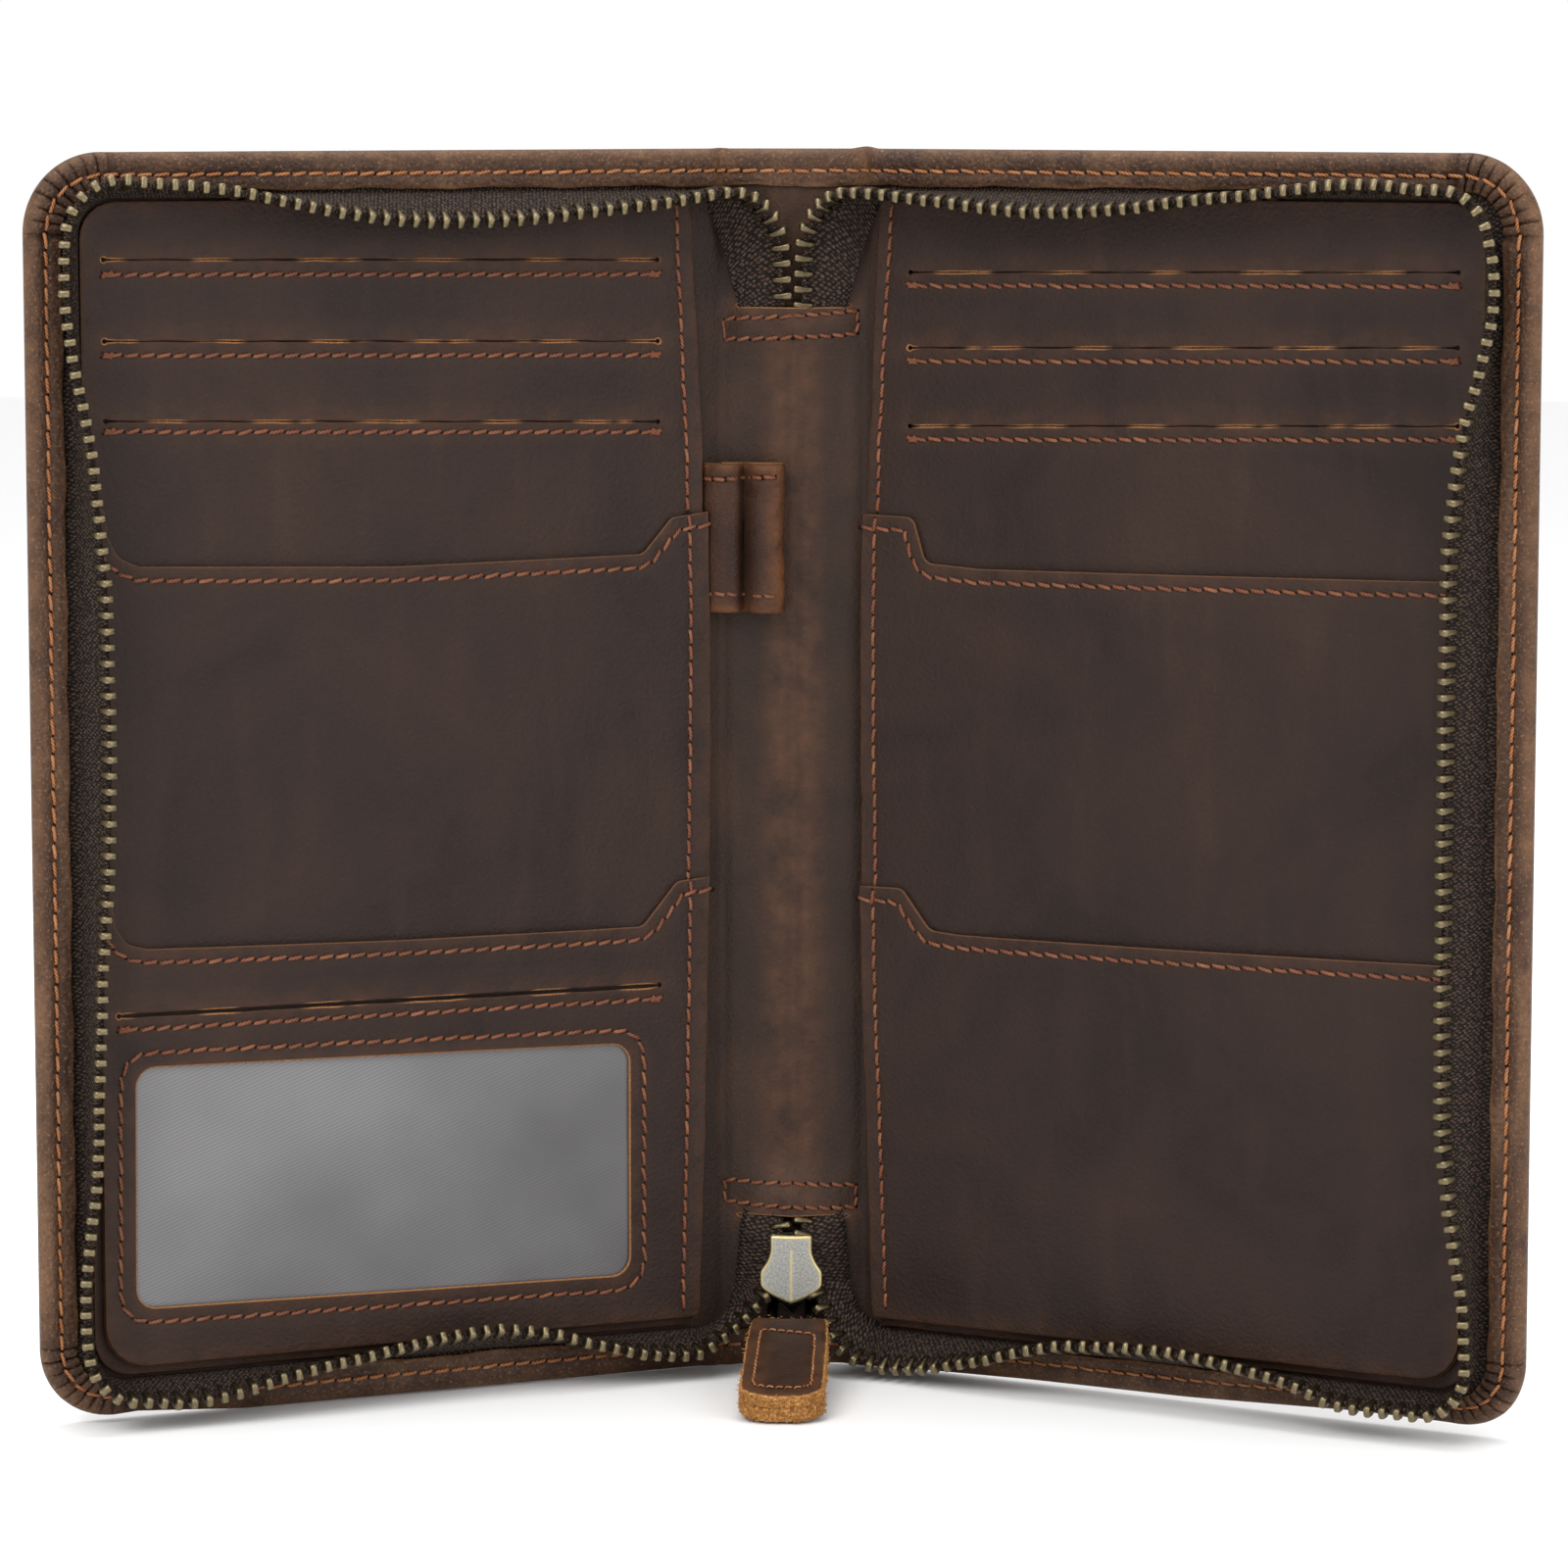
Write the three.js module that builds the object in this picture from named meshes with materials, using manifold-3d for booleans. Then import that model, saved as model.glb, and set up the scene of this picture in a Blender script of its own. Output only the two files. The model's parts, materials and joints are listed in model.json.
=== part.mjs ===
// A zip-around travel document organizer in leather, standing open like a book.
//
// Frame: millimetres, +Z up, +X to the right, the inside faces -Y. The origin is the
// centre of the bounding box's base.
// Each cover is drawn in its own frame: s runs out from the crease to the fore edge, z is
// the height above the base, and w is the depth in from the outer face towards the inside.

import * as THREE from 'three';
import { mergeVertices } from 'three/addons/utils/BufferGeometryUtils.js';
import Module from 'manifold-3d';

const wasm = await Module();
wasm.setup();

// ---- driving dimensions ----
const HEIGHT = 208;
const COVER_WIDTH = 120.6;
const SPINE_WIDTH = 26;
const OPENING_ANGLE = THREE.MathUtils.degToRad(26);
const CORNER_RADIUS = 13;
const EDGE_BORDER = 6.2;
const CLEARANCE = 0.3;

// Each layer's depth range, from the outer face inwards.
const SHELL = [0, 1.2];
const RIM_TOP = 4.6;
const BOARD = [1.5, 2.2];
const LINING = [2.5, 2.9];
const BACKING = [3.2, 3.5];
const PANEL = [3.8, 4.5];
const MIDDLE = [4.8, 5.5];
const LOWER = [5.8, 6.5];

// Where each layer starts beside the crease, so that the covers can close on the spine.
const SHELL_START = 0.3;
const RIM_START = 5.2;
const LAYER_START = 4.5;
const SPINE_HALF = SPINE_WIDTH / 2 - SHELL[1] - 0.5;

const LAYER_INSET = 7.9;
const POCKET_INSET = 9.2;
const CORNER_STEPS = 8;

// Card slots: three slits across each slot panel.
const SLOT_HEIGHTS = [189.5, 176.5, 163.5];
const SLOT_START = 11;
const SLOT_END = 108;
const SLOT_GAPE = 0.8;
const SLOT_POCKET_DEPTH = 54;

// Pocket mouths: a long low edge, then a diagonal step up beside the spine.
const MIDDLE_MOUTH = { low: 139.5, high: 147, stepFrom: 15.5, stepTo: 10.8 };
const LOWER_MOUTH = { low: 77.8, high: 84.6, stepFrom: 16, stepTo: 9.8 };
const POCKET_BASE = 9.2;

// The left lower pocket has a slit above a clear window.
const ID_SLIT_HEIGHT = 67.5;
const WINDOW = { s0: 19, s1: 106, z0: 18.5, z1: 58.3, radius: 3 };

// Zip: the tape stands on the border's inner edge and the teeth run along its free edge.
const TAPE_THICKNESS = 0.5;
const TAPE_STAND = 9;
const TAPE_INSET = 7.2;
const TAPE_FOOT = 4.2;
const TOOTH_LENGTH = 2.8;
const TOOTH_WIDTH = 2.2;
const ZIP_START = 2;
const ZIP_STEPS = 84;
// How far the teeth lean in over the pockets (+) or out over the edge (-), by the distance
// along the zip from the top of the crease, round the fore edge, to the bottom of the crease.
const LEAN = {
  left: [[0, -1], [59, 5], [125, -4], [196, 3], [286, -4.4], [310, 0.4], [353, 3.7],
    [401, -2.8], [415, -1.6]],
  right: [[0, -1], [44, 2.8], [91, -2.5], [108, 1], [123, -4.8], [219, 5.3], [291, -2.2],
    [304, 0.8], [318, -1.8], [363, 2.3], [406, -4.2], [415, -4]],
};

// Slider, ring and leather pull.
const SLIDER = { tip: 12.3, cheek: 15.4, shoulder: 18, waist: 21.2, top: 24, half: 5.3,
  neck: 3.4 };
const SLIDER_BACK = [6, 7.2];
const SLIDER_FRONT = [9.6, 10.8];
const RING_WIRE = 1.3;
const RING_HALF = 3.85;
const LUG = { w: 4.9, z: 12.6, radius: 1.6, hole: 1, half: 1.1 };
const PULL_PIN = { w: 15.8, z: 8.6 };
const PULL_WIDTH = 14.3;
const PULL_THICKNESS = 5;
const PULL_REACH = 32.4;
const PULL_HEEL = 2.6;

// ---- materials ----
const standard = (color, roughness, metalness = 0) =>
  new THREE.MeshStandardMaterial({ color, roughness, metalness });
const MATERIALS = {
  outerLeather: standard(0x5b4130, 0.55),
  innerLeather: standard(0x3f3229, 0.5),
  pullLeather: standard(0x6a4a33, 0.6),
  lining: standard(0x352b26, 0.6),
  board: standard(0x9a8f7d, 0.9),
  fabric: standard(0x2b2726, 0.9),
  tape: standard(0x3b2e2d, 0.85),
  teeth: standard(0x8a7c5c, 0.35, 1),
  nickel: standard(0x9c9b94, 0.4, 1),
  film: standard(0x87858a, 0.3),
};

// ---- solids ----
function toManifold(geometry) {
  const bare = geometry.clone();
  bare.deleteAttribute('normal');
  bare.deleteAttribute('uv');
  const merged = mergeVertices(bare, 1e-4);
  return new wasm.Manifold(new wasm.Mesh({
    numProp: 3,
    vertProperties: new Float32Array(merged.attributes.position.array),
    triVerts: new Uint32Array(merged.index.array),
  }));
}

function toGeometry(solid) {
  const mesh = solid.getMesh();
  const geometry = new THREE.BufferGeometry();
  geometry.setAttribute('position', new THREE.BufferAttribute(mesh.vertProperties, 3));
  geometry.setIndex(new THREE.BufferAttribute(mesh.triVerts, 1));
  geometry.computeVertexNormals();
  return geometry;
}

const join = (first, ...rest) =>
  toGeometry(rest.reduce((solid, g) => solid.add(toManifold(g)), toManifold(first)));
const cut = (first, ...rest) =>
  toGeometry(rest.reduce((solid, g) => solid.subtract(toManifold(g)), toManifold(first)));

// A flat layer: an outline in (x, z), given its depth range.
function plate(shape, [from, to]) {
  const geometry = new THREE.ExtrudeGeometry(shape, {
    depth: to - from, bevelEnabled: false, curveSegments: CORNER_STEPS,
  });
  return geometry.translate(0, 0, from).rotateX(Math.PI / 2);
}

// A profile in (w, z), given its range across X.
function crosswise(shape, [from, to]) {
  const geometry = new THREE.ExtrudeGeometry(shape, {
    depth: to - from, bevelEnabled: false, curveSegments: CORNER_STEPS,
  });
  geometry.translate(0, 0, from);
  geometry.applyMatrix4(new THREE.Matrix4().makeBasis(
    new THREE.Vector3(0, -1, 0), new THREE.Vector3(0, 0, 1), new THREE.Vector3(-1, 0, 0)));
  return geometry;
}

function rectangle(x0, x1, z0, z1, Kind = THREE.Shape) {
  return new Kind([
    new THREE.Vector2(x0, z0), new THREE.Vector2(x1, z0),
    new THREE.Vector2(x1, z1), new THREE.Vector2(x0, z1),
  ]);
}

function roundedRectangle(x0, x1, z0, z1, radius, Kind = THREE.Shape) {
  const outline = new Kind();
  outline.absarc(x1 - radius, z1 - radius, radius, 0, Math.PI / 2);
  outline.absarc(x0 + radius, z1 - radius, radius, Math.PI / 2, Math.PI);
  outline.absarc(x0 + radius, z0 + radius, radius, Math.PI, Math.PI * 1.5);
  outline.absarc(x1 - radius, z0 + radius, radius, Math.PI * 1.5, Math.PI * 2);
  outline.closePath();
  return outline;
}

// A sheet of even thickness through a grid of points: rows run along it, columns across it.
function sheet(grid, thickness) {
  const rows = grid.length;
  const columns = grid[0].length;
  const offsets = grid.map((row, i) => row.map((point, j) => {
    const along = new THREE.Vector3().subVectors(
      grid[Math.min(i + 1, rows - 1)][j], grid[Math.max(i - 1, 0)][j]);
    const across = new THREE.Vector3().subVectors(
      row[Math.min(j + 1, columns - 1)], row[Math.max(j - 1, 0)]);
    return along.cross(across).normalize().multiplyScalar(thickness / 2);
  }));
  const position = [];
  for (const sign of [1, -1]) {
    grid.forEach((row, i) => row.forEach((point, j) =>
      position.push(...point.clone().addScaledVector(offsets[i][j], sign))));
  }
  const at = (side, i, j) => (side * rows + i) * columns + j;
  const index = [];
  const quad = (a, b, c, d) => index.push(a, b, c, a, c, d);
  for (let i = 0; i < rows - 1; i += 1) {
    for (let j = 0; j < columns - 1; j += 1) {
      quad(at(0, i, j), at(0, i + 1, j), at(0, i + 1, j + 1), at(0, i, j + 1));
      quad(at(1, i, j), at(1, i, j + 1), at(1, i + 1, j + 1), at(1, i + 1, j));
    }
    quad(at(0, i, 0), at(1, i, 0), at(1, i + 1, 0), at(0, i + 1, 0));
    const last = columns - 1;
    quad(at(0, i, last), at(0, i + 1, last), at(1, i + 1, last), at(1, i, last));
  }
  for (let j = 0; j < columns - 1; j += 1) {
    const end = rows - 1;
    quad(at(0, 0, j), at(0, 0, j + 1), at(1, 0, j + 1), at(1, 0, j));
    quad(at(0, end, j), at(1, end, j), at(1, end, j + 1), at(0, end, j + 1));
  }
  const geometry = new THREE.BufferGeometry();
  geometry.setAttribute('position', new THREE.Float32BufferAttribute(position, 3));
  geometry.setIndex(index);
  geometry.computeVertexNormals();
  return geometry;
}

// ---- zip ----
// A value between hand-set stops, easing in and out of each.
function between(stops, distance) {
  const next = stops.findIndex(([d]) => d >= distance);
  if (next <= 0) return stops[next === 0 ? 0 : stops.length - 1][1];
  const [d0, v0] = stops[next - 1];
  const [d1, v1] = stops[next];
  return v0 + (v1 - v0) * THREE.MathUtils.smoothstep(distance, d0, d1);
}

// The zip's line round a cover, as points with the way in towards the pockets.
function zipLine() {
  const radius = CORNER_RADIUS - TAPE_INSET;
  const fore = COVER_WIDTH - TAPE_INSET;
  const path = new THREE.Path();
  path.moveTo(ZIP_START, HEIGHT - TAPE_INSET);
  path.lineTo(fore - radius, HEIGHT - TAPE_INSET);
  path.absarc(fore - radius, HEIGHT - TAPE_INSET - radius, radius, Math.PI / 2, 0, true);
  path.lineTo(fore, TAPE_INSET + radius);
  path.absarc(fore - radius, TAPE_INSET + radius, radius, 0, -Math.PI / 2, true);
  path.lineTo(ZIP_START, TAPE_INSET);
  const length = path.getLength();
  return Array.from({ length: ZIP_STEPS + 1 }, (_, i) => {
    const point = path.getPointAt(i / ZIP_STEPS);
    const tangent = path.getTangentAt(i / ZIP_STEPS);
    return { point, inward: new THREE.Vector2(tangent.y, -tangent.x),
      distance: length * i / ZIP_STEPS };
  });
}

// The tape's cross-section at one point of the line: foot, belly, teeth, and beyond them.
function tapeSection({ point, inward, distance }, name, side) {
  const lean = between(LEAN[name], distance);
  const stand = Math.sqrt(TAPE_STAND ** 2 - lean ** 2);
  const place = (reach, rise) => new THREE.Vector3(
    side * (point.x + inward.x * reach), -(TAPE_FOOT + rise), point.y + inward.y * reach);
  const tip = (TAPE_STAND + TOOTH_LENGTH) / TAPE_STAND;
  return [place(0, 0), place(lean * 0.3, stand * 0.5), place(lean, stand),
    place(lean * tip, stand * tip)];
}

function coverZip(name, side) {
  const sections = zipLine().map((station) => tapeSection(station, name, side));
  const gap = CLEARANCE / TOOTH_LENGTH;
  const ordered = side > 0 ? sections : sections.reverse();
  const tape = sheet(ordered.map((s) => s.slice(0, 3)), TAPE_THICKNESS);
  const teeth = sheet(ordered.map((s) => [s[2].clone().lerp(s[3], gap), s[3]]), TOOTH_WIDTH);
  return { tape, teeth };
}

// A zip's end on the spine: each tape runs from the crease in to the chain's centre line.
// Points are (x, z, w) on the right-hand side; the left side mirrors them.
const TOP_END = {
  foot: [[11.4, 201, 4.4], [10.6, 193, 4], [9.2, 182.4, 3.8]],
  belly: [[9.4, 201.4, 8.4], [7, 193, 6.4], [5.6, 182.4, 4.1]],
  edge: [[7.8, 201.7, 12.3], [4.4, 193.5, 8.6], [3.4, 182.4, 4.8]],
  chain: [[5.8, 201.4, 13.4], [3.9, 198, 11.4], [1.7, 191.6, 7.8], [0.9, 186.5, 5.6],
    [0.9, 182.4, 5.2]],
};
const BOTTOM_END = {
  foot: [[11.4, 7.2, 4.4], [10.9, 16, 4.1], [9.2, 25.2, 3.8]],
  belly: [[9.8, 6.2, 8.4], [8.8, 16, 8.2], [7.2, 22, 7], [6.2, 25.2, 4.1]],
  edge: [[8.4, 5.4, 12], [8.2, 10, 10.2], [6.6, 15, 8.4], [4.9, 20, 8.4], [4.7, 24, 8],
    [4, 25.2, 4.8]],
  chain: [[6.3, 5.4, 12.4], [6.2, 9.4, 10.4], [5.2, 13.4, 8.5], [2.8, 17, 8.4],
    [1.1, 20.5, 8.4], [0.9, 24.3, 8.3], [0.9, 25.3, 5.4]],
};
const END_STEPS = 12;
const CHAIN_HALF = 1.5;
const CHAIN_THICKNESS = 1.5;

const spinePoint = (side) => ([x, z, w]) => new THREE.Vector3(side * x, -w, z);
const curveOf = (points, side) => new THREE.CatmullRomCurve3(points.map(spinePoint(side)));

function zipEndTape(end, side) {
  const curves = [end.foot, end.belly, end.edge].map((points) => curveOf(points, side));
  const rows = Array.from({ length: END_STEPS + 1 }, (_, i) =>
    curves.map((curve) => curve.getPoint(i / END_STEPS)));
  const clockwise = (end === TOP_END) === (side > 0);
  return sheet(clockwise ? rows.reverse() : rows, TAPE_THICKNESS);
}

// Both sides' teeth, meshed together where the zip is closed.
function zipEndChain(end) {
  const arms = [-1, 1].map((side) => {
    const curve = curveOf(end.chain, side);
    const rows = Array.from({ length: END_STEPS + 1 }, (_, i) => {
      const point = curve.getPoint(i / END_STEPS);
      const shift = new THREE.Vector3(CHAIN_HALF, 0, 0);
      return [point.clone().sub(shift), point.clone().add(shift)];
    });
    return sheet(end === TOP_END ? rows : rows.reverse(), CHAIN_THICKNESS);
  });
  return join(...arms);
}

// ---- covers ----
// An outline from a start beside the crease out to an inset inside the cover's edge.
function coverOutline(side, start, inset) {
  const radius = CORNER_RADIUS - inset * 0.8;
  const fore = COVER_WIDTH - inset;
  const top = HEIGHT - inset;
  const shape = new THREE.Shape();
  shape.moveTo(start, inset);
  shape.lineTo(fore - radius, inset);
  shape.absarc(fore - radius, inset + radius, radius, -Math.PI / 2, 0);
  shape.lineTo(fore, top - radius);
  shape.absarc(fore - radius, top - radius, radius, 0, Math.PI / 2);
  shape.lineTo(start, top);
  return mirrored(shape.getPoints(CORNER_STEPS), side);
}

const mirrored = (points, side) =>
  new THREE.Shape(points.map(({ x, y }) => new THREE.Vector2(side * x, y)));

function pocketOutline(side, mouth, base, inset) {
  const radius = 8;
  const fore = COVER_WIDTH - inset;
  const shape = new THREE.Shape();
  shape.moveTo(LAYER_START, base);
  shape.lineTo(fore - radius, base);
  shape.absarc(fore - radius, base + radius, radius, -Math.PI / 2, 0);
  shape.lineTo(fore, mouth.low + 1);
  shape.lineTo(mouth.stepFrom, mouth.low);
  shape.lineTo(mouth.stepTo, mouth.high);
  shape.lineTo(LAYER_START, mouth.high);
  return mirrored(shape.getPoints(CORNER_STEPS), side);
}

function slitHole(side, height) {
  const [x0, x1] = [side * SLOT_START, side * SLOT_END].sort((a, b) => a - b);
  return rectangle(x0, x1, height - SLOT_GAPE / 2, height + SLOT_GAPE / 2, THREE.Path);
}

function outerLeather(side) {
  const back = plate(coverOutline(side, SHELL_START, 0), SHELL);
  const rim = plate(coverOutline(side, RIM_START, 0), [SHELL[1] - 0.2, RIM_TOP]);
  const recess = plate(coverOutline(side, 0, EDGE_BORDER), [SHELL[1], RIM_TOP + 1]);
  return join(back, cut(rim, recess));
}

function slotPanel(side) {
  const shape = coverOutline(side, LAYER_START, LAYER_INSET);
  shape.holes = SLOT_HEIGHTS.map((height) => slitHole(side, height));
  return plate(shape, PANEL);
}

function slotBacking(side) {
  const [x0, x1] = [side * (SLOT_START - 3), side * (SLOT_END + 3)].sort((a, b) => a - b);
  const top = SLOT_HEIGHTS[0] + 3;
  return plate(rectangle(x0, x1, top - 26 - SLOT_POCKET_DEPTH, top), BACKING);
}

function windowShape(margin, Kind) {
  return roundedRectangle(-WINDOW.s1 - margin, -WINDOW.s0 + margin, WINDOW.z0 - margin,
    WINDOW.z1 + margin, WINDOW.radius, Kind);
}

function leftLowerPocket() {
  const shape = pocketOutline(-1, LOWER_MOUTH, POCKET_BASE, POCKET_INSET);
  shape.holes = [slitHole(-1, ID_SLIT_HEIGHT), windowShape(0, THREE.Path)];
  return plate(shape, LOWER);
}

// The clear film lies just below the pocket's face, inside the window's edge.
function windowFilm() {
  return plate(windowShape(-CLEARANCE, THREE.Shape), [LOWER[0] + 0.1, LOWER[0] + 0.4]);
}

// ---- spine ----
function spineLining() {
  const sheetShape = rectangle(-SPINE_HALF, SPINE_HALF, LAYER_INSET, HEIGHT - LAYER_INSET);
  const flap = (z0, z1) => plate(rectangle(-8.6, 8.6, z0, z1), [LINING[1] - 0.2, 4.1]);
  return join(plate(sheetShape, LINING), flap(171.5, 182), flap(25.6, 35));
}

function spineOuterLeather() {
  const back = plate(rectangle(-SPINE_HALF, SPINE_HALF, 0, HEIGHT), SHELL);
  const turned = (z0, z1) =>
    plate(rectangle(-SPINE_HALF, SPINE_HALF, z0, z1), [SHELL[1] - 0.2, RIM_TOP - 0.8]);
  return join(back, turned(0, EDGE_BORDER), turned(HEIGHT - EDGE_BORDER, HEIGHT));
}

const PEN_LOOP = { x0: -11, x1: -1.6, w0: 3.2, w1: 9.4, wall: 0.9, z0: 130.3, z1: 155.1 };

function penLoop() {
  const { x0, x1, w0, w1, wall, z0, z1 } = PEN_LOOP;
  const ring = roundedRectangle(x0, x1, -w1, -w0, 2.6);
  ring.holes = [roundedRectangle(x0 + wall, x1 - wall, -w1 + wall, -w0 - wall, 1.7, THREE.Path)];
  return new THREE.ExtrudeGeometry(ring, {
    depth: z1 - z0, bevelEnabled: false, curveSegments: 4,
  }).translate(0, 0, z0);
}

// ---- slider and pull ----
function sliderPlate(range) {
  const { tip, cheek, shoulder, waist, top, half, neck } = SLIDER;
  const outline = new THREE.Shape();
  outline.moveTo(0, tip);
  outline.quadraticCurveTo(half * 0.75, tip + 0.8, half, cheek);
  outline.lineTo(half, shoulder);
  outline.quadraticCurveTo(neck - 0.2, waist - 1.8, neck, waist);
  outline.lineTo(neck + 0.1, top);
  const right = outline.getPoints(5);
  const left = right.slice(1).reverse().map(({ x, y }) => new THREE.Vector2(-x, y));
  return plate(new THREE.Shape([...right, ...left]), range);
}

function zipSlider() {
  const diamond = new THREE.Shape([
    new THREE.Vector2(0, 13.2), new THREE.Vector2(1.1, 15), new THREE.Vector2(0, 17.2),
    new THREE.Vector2(-1.1, 15),
  ]);
  const post = plate(diamond, [SLIDER_BACK[1] - 0.2, SLIDER_FRONT[0] + 0.2]);
  const lug = new THREE.Shape();
  lug.absarc(LUG.w, LUG.z, LUG.radius, Math.PI * 0.75, Math.PI * 2);
  lug.lineTo(SLIDER_BACK[0] + 0.5, 17);
  lug.holes = [new THREE.Path().absarc(LUG.w, LUG.z, LUG.hole, 0, Math.PI * 2)];
  return join(sliderPlate(SLIDER_BACK), sliderPlate(SLIDER_FRONT), post,
    crosswise(lug, [-LUG.half, LUG.half]));
}

// The ring and the pull are drawn lying along -Y from their hinge, then tilted down.
function pullRing() {
  const reach = Math.hypot(PULL_PIN.w - LUG.w, LUG.z - PULL_PIN.z);
  const end = RING_WIRE / 2;
  const link = roundedRectangle(-RING_HALF, RING_HALF, -reach - end, end, 1.4);
  link.holes = [roundedRectangle(RING_WIRE - RING_HALF, RING_HALF - RING_WIRE,
    end - reach, -end, 0.6, THREE.Path)];
  return new THREE.ExtrudeGeometry(link, {
    depth: RING_WIRE, bevelEnabled: false, curveSegments: 4,
  }).translate(0, 0, -RING_WIRE / 2);
}

function leatherPull() {
  const outline = roundedRectangle(-PULL_WIDTH / 2, PULL_WIDTH / 2, -PULL_REACH, PULL_HEEL, 3);
  const strap = new THREE.ExtrudeGeometry(outline, {
    depth: PULL_THICKNESS, bevelEnabled: false, curveSegments: CORNER_STEPS,
  }).translate(0, 0, -PULL_THICKNESS / 2);
  const slotHalf = RING_HALF + 0.5;
  const slot = new THREE.BoxGeometry(2 * slotHalf, PULL_HEEL + 2.4, 2.9);
  slot.translate(0, PULL_HEEL + 0.7 - (PULL_HEEL + 2.4) / 2, 0);
  return cut(strap, slot);
}

// ---- assembly ----
const organizer = new THREE.Group();

function add(group, name, geometry, material) {
  const mesh = new THREE.Mesh(geometry, material);
  mesh.name = name;
  group.add(mesh);
  return mesh;
}

function buildSpine() {
  const spine = new THREE.Group();
  const m = MATERIALS;
  add(spine, 'spine_outer_leather', spineOuterLeather(), m.outerLeather);
  add(spine, 'spine_stiffener', plate(rectangle(-SPINE_HALF + 1, SPINE_HALF - 1, LAYER_INSET,
    HEIGHT - LAYER_INSET), BOARD), m.board);
  add(spine, 'spine_lining', spineLining(), m.lining);
  add(spine, 'pen_loop', penLoop(), m.innerLeather);
  for (const [place, end] of [['top', TOP_END], ['bottom', BOTTOM_END]]) {
    add(spine, `${place}_left_zip_tape_end`, zipEndTape(end, -1), m.tape);
    add(spine, `${place}_right_zip_tape_end`, zipEndTape(end, 1), m.tape);
    add(spine, `${place}_zip_chain`, zipEndChain(end), m.teeth);
  }
  organizer.add(spine);
}

function buildCover(name, side) {
  const cover = new THREE.Group();
  const m = MATERIALS;
  const zip = coverZip(name, side);
  const inset = coverOutline(side, LAYER_START, LAYER_INSET);
  const middle = pocketOutline(side, MIDDLE_MOUTH, POCKET_BASE, POCKET_INSET);
  add(cover, `${name}_outer_leather`, outerLeather(side), m.outerLeather);
  add(cover, `${name}_stiffener_board`, plate(inset, BOARD), m.board);
  add(cover, `${name}_lining`, plate(inset, LINING), m.lining);
  add(cover, `${name}_slot_backing`, slotBacking(side), m.fabric);
  add(cover, `${name}_slot_panel`, slotPanel(side), m.innerLeather);
  add(cover, `${name}_middle_pocket`, plate(middle, MIDDLE), m.innerLeather);
  add(cover, `${name}_zip_tape`, zip.tape, m.tape);
  add(cover, `${name}_zip_teeth`, zip.teeth, m.teeth);
  cover.position.x = side * SPINE_WIDTH / 2;
  cover.rotation.z = -side * OPENING_ANGLE;
  organizer.add(cover);
  return cover;
}

buildSpine();
const left = buildCover('left', -1);
add(left, 'left_lower_pocket', leftLowerPocket(), MATERIALS.innerLeather);
add(left, 'id_window_film', windowFilm(), MATERIALS.film);
const right = buildCover('right', 1);
add(right, 'right_lower_pocket',
  plate(pocketOutline(1, LOWER_MOUTH, POCKET_BASE, POCKET_INSET), LOWER),
  MATERIALS.innerLeather);

add(organizer, 'zip_slider', zipSlider(), MATERIALS.nickel);
const ring = add(organizer, 'pull_ring', pullRing(), MATERIALS.nickel);
ring.position.set(0, -LUG.w, LUG.z);
ring.rotation.x = Math.atan2(LUG.z - PULL_PIN.z, PULL_PIN.w - LUG.w);
// The pull slopes down until the lower corner of its free end meets the base plane.
const pull = add(organizer, 'leather_pull', leatherPull(), MATERIALS.pullLeather);
pull.position.set(0, -PULL_PIN.w, PULL_PIN.z);
pull.rotation.x = Math.asin(PULL_PIN.z / Math.hypot(PULL_REACH, PULL_THICKNESS / 2))
  - Math.atan2(PULL_THICKNESS / 2, PULL_REACH);

// Move the origin to the centre of the bounding box's base.
const box = new THREE.Box3().setFromObject(organizer, true);
const centre = box.getCenter(new THREE.Vector3());
organizer.position.set(-centre.x, -centre.y, -box.min.z);

export default organizer;
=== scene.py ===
"""Looks for the travel document organizer: leather, threads, zip and slider around the CAD frame."""
import json
import math
import bpy
import bmesh
import numpy as np
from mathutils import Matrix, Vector
from mathutils.geometry import delaunay_2d_cdt


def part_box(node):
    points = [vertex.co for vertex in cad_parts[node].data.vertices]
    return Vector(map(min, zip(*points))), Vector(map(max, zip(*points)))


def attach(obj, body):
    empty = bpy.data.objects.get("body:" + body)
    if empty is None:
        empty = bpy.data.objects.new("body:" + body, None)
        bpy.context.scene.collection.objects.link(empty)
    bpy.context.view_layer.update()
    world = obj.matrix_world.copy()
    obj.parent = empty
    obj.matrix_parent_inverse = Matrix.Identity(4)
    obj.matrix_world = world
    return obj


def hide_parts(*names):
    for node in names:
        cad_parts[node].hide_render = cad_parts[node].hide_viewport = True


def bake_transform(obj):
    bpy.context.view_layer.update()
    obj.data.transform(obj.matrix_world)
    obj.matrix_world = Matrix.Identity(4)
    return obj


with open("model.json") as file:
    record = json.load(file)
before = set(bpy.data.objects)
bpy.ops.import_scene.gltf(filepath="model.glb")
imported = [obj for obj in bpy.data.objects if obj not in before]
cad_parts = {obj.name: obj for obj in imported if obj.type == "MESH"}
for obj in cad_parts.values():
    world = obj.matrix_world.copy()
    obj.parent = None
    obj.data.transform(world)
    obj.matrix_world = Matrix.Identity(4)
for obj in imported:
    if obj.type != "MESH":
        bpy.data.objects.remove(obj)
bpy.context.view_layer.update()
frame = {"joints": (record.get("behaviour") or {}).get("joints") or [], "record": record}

# ---- places, in millimetres, from the frame ----
MM = 0.001
JOINTS = {joint["name"]: joint for joint in frame["joints"]}
MOUNTS = {mount["name"]: mount for mount in frame["record"]["mounts"]}
CREASE_X, CREASE_Y = (v / MM for v in JOINTS["right_cover_fold"]["pos_m"][:2])
BACK_AXIS = MOUNTS["right_cover_back"]["axis"]
OPENING = math.atan2(BACK_AXIS[0], BACK_AXIS[1])
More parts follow.
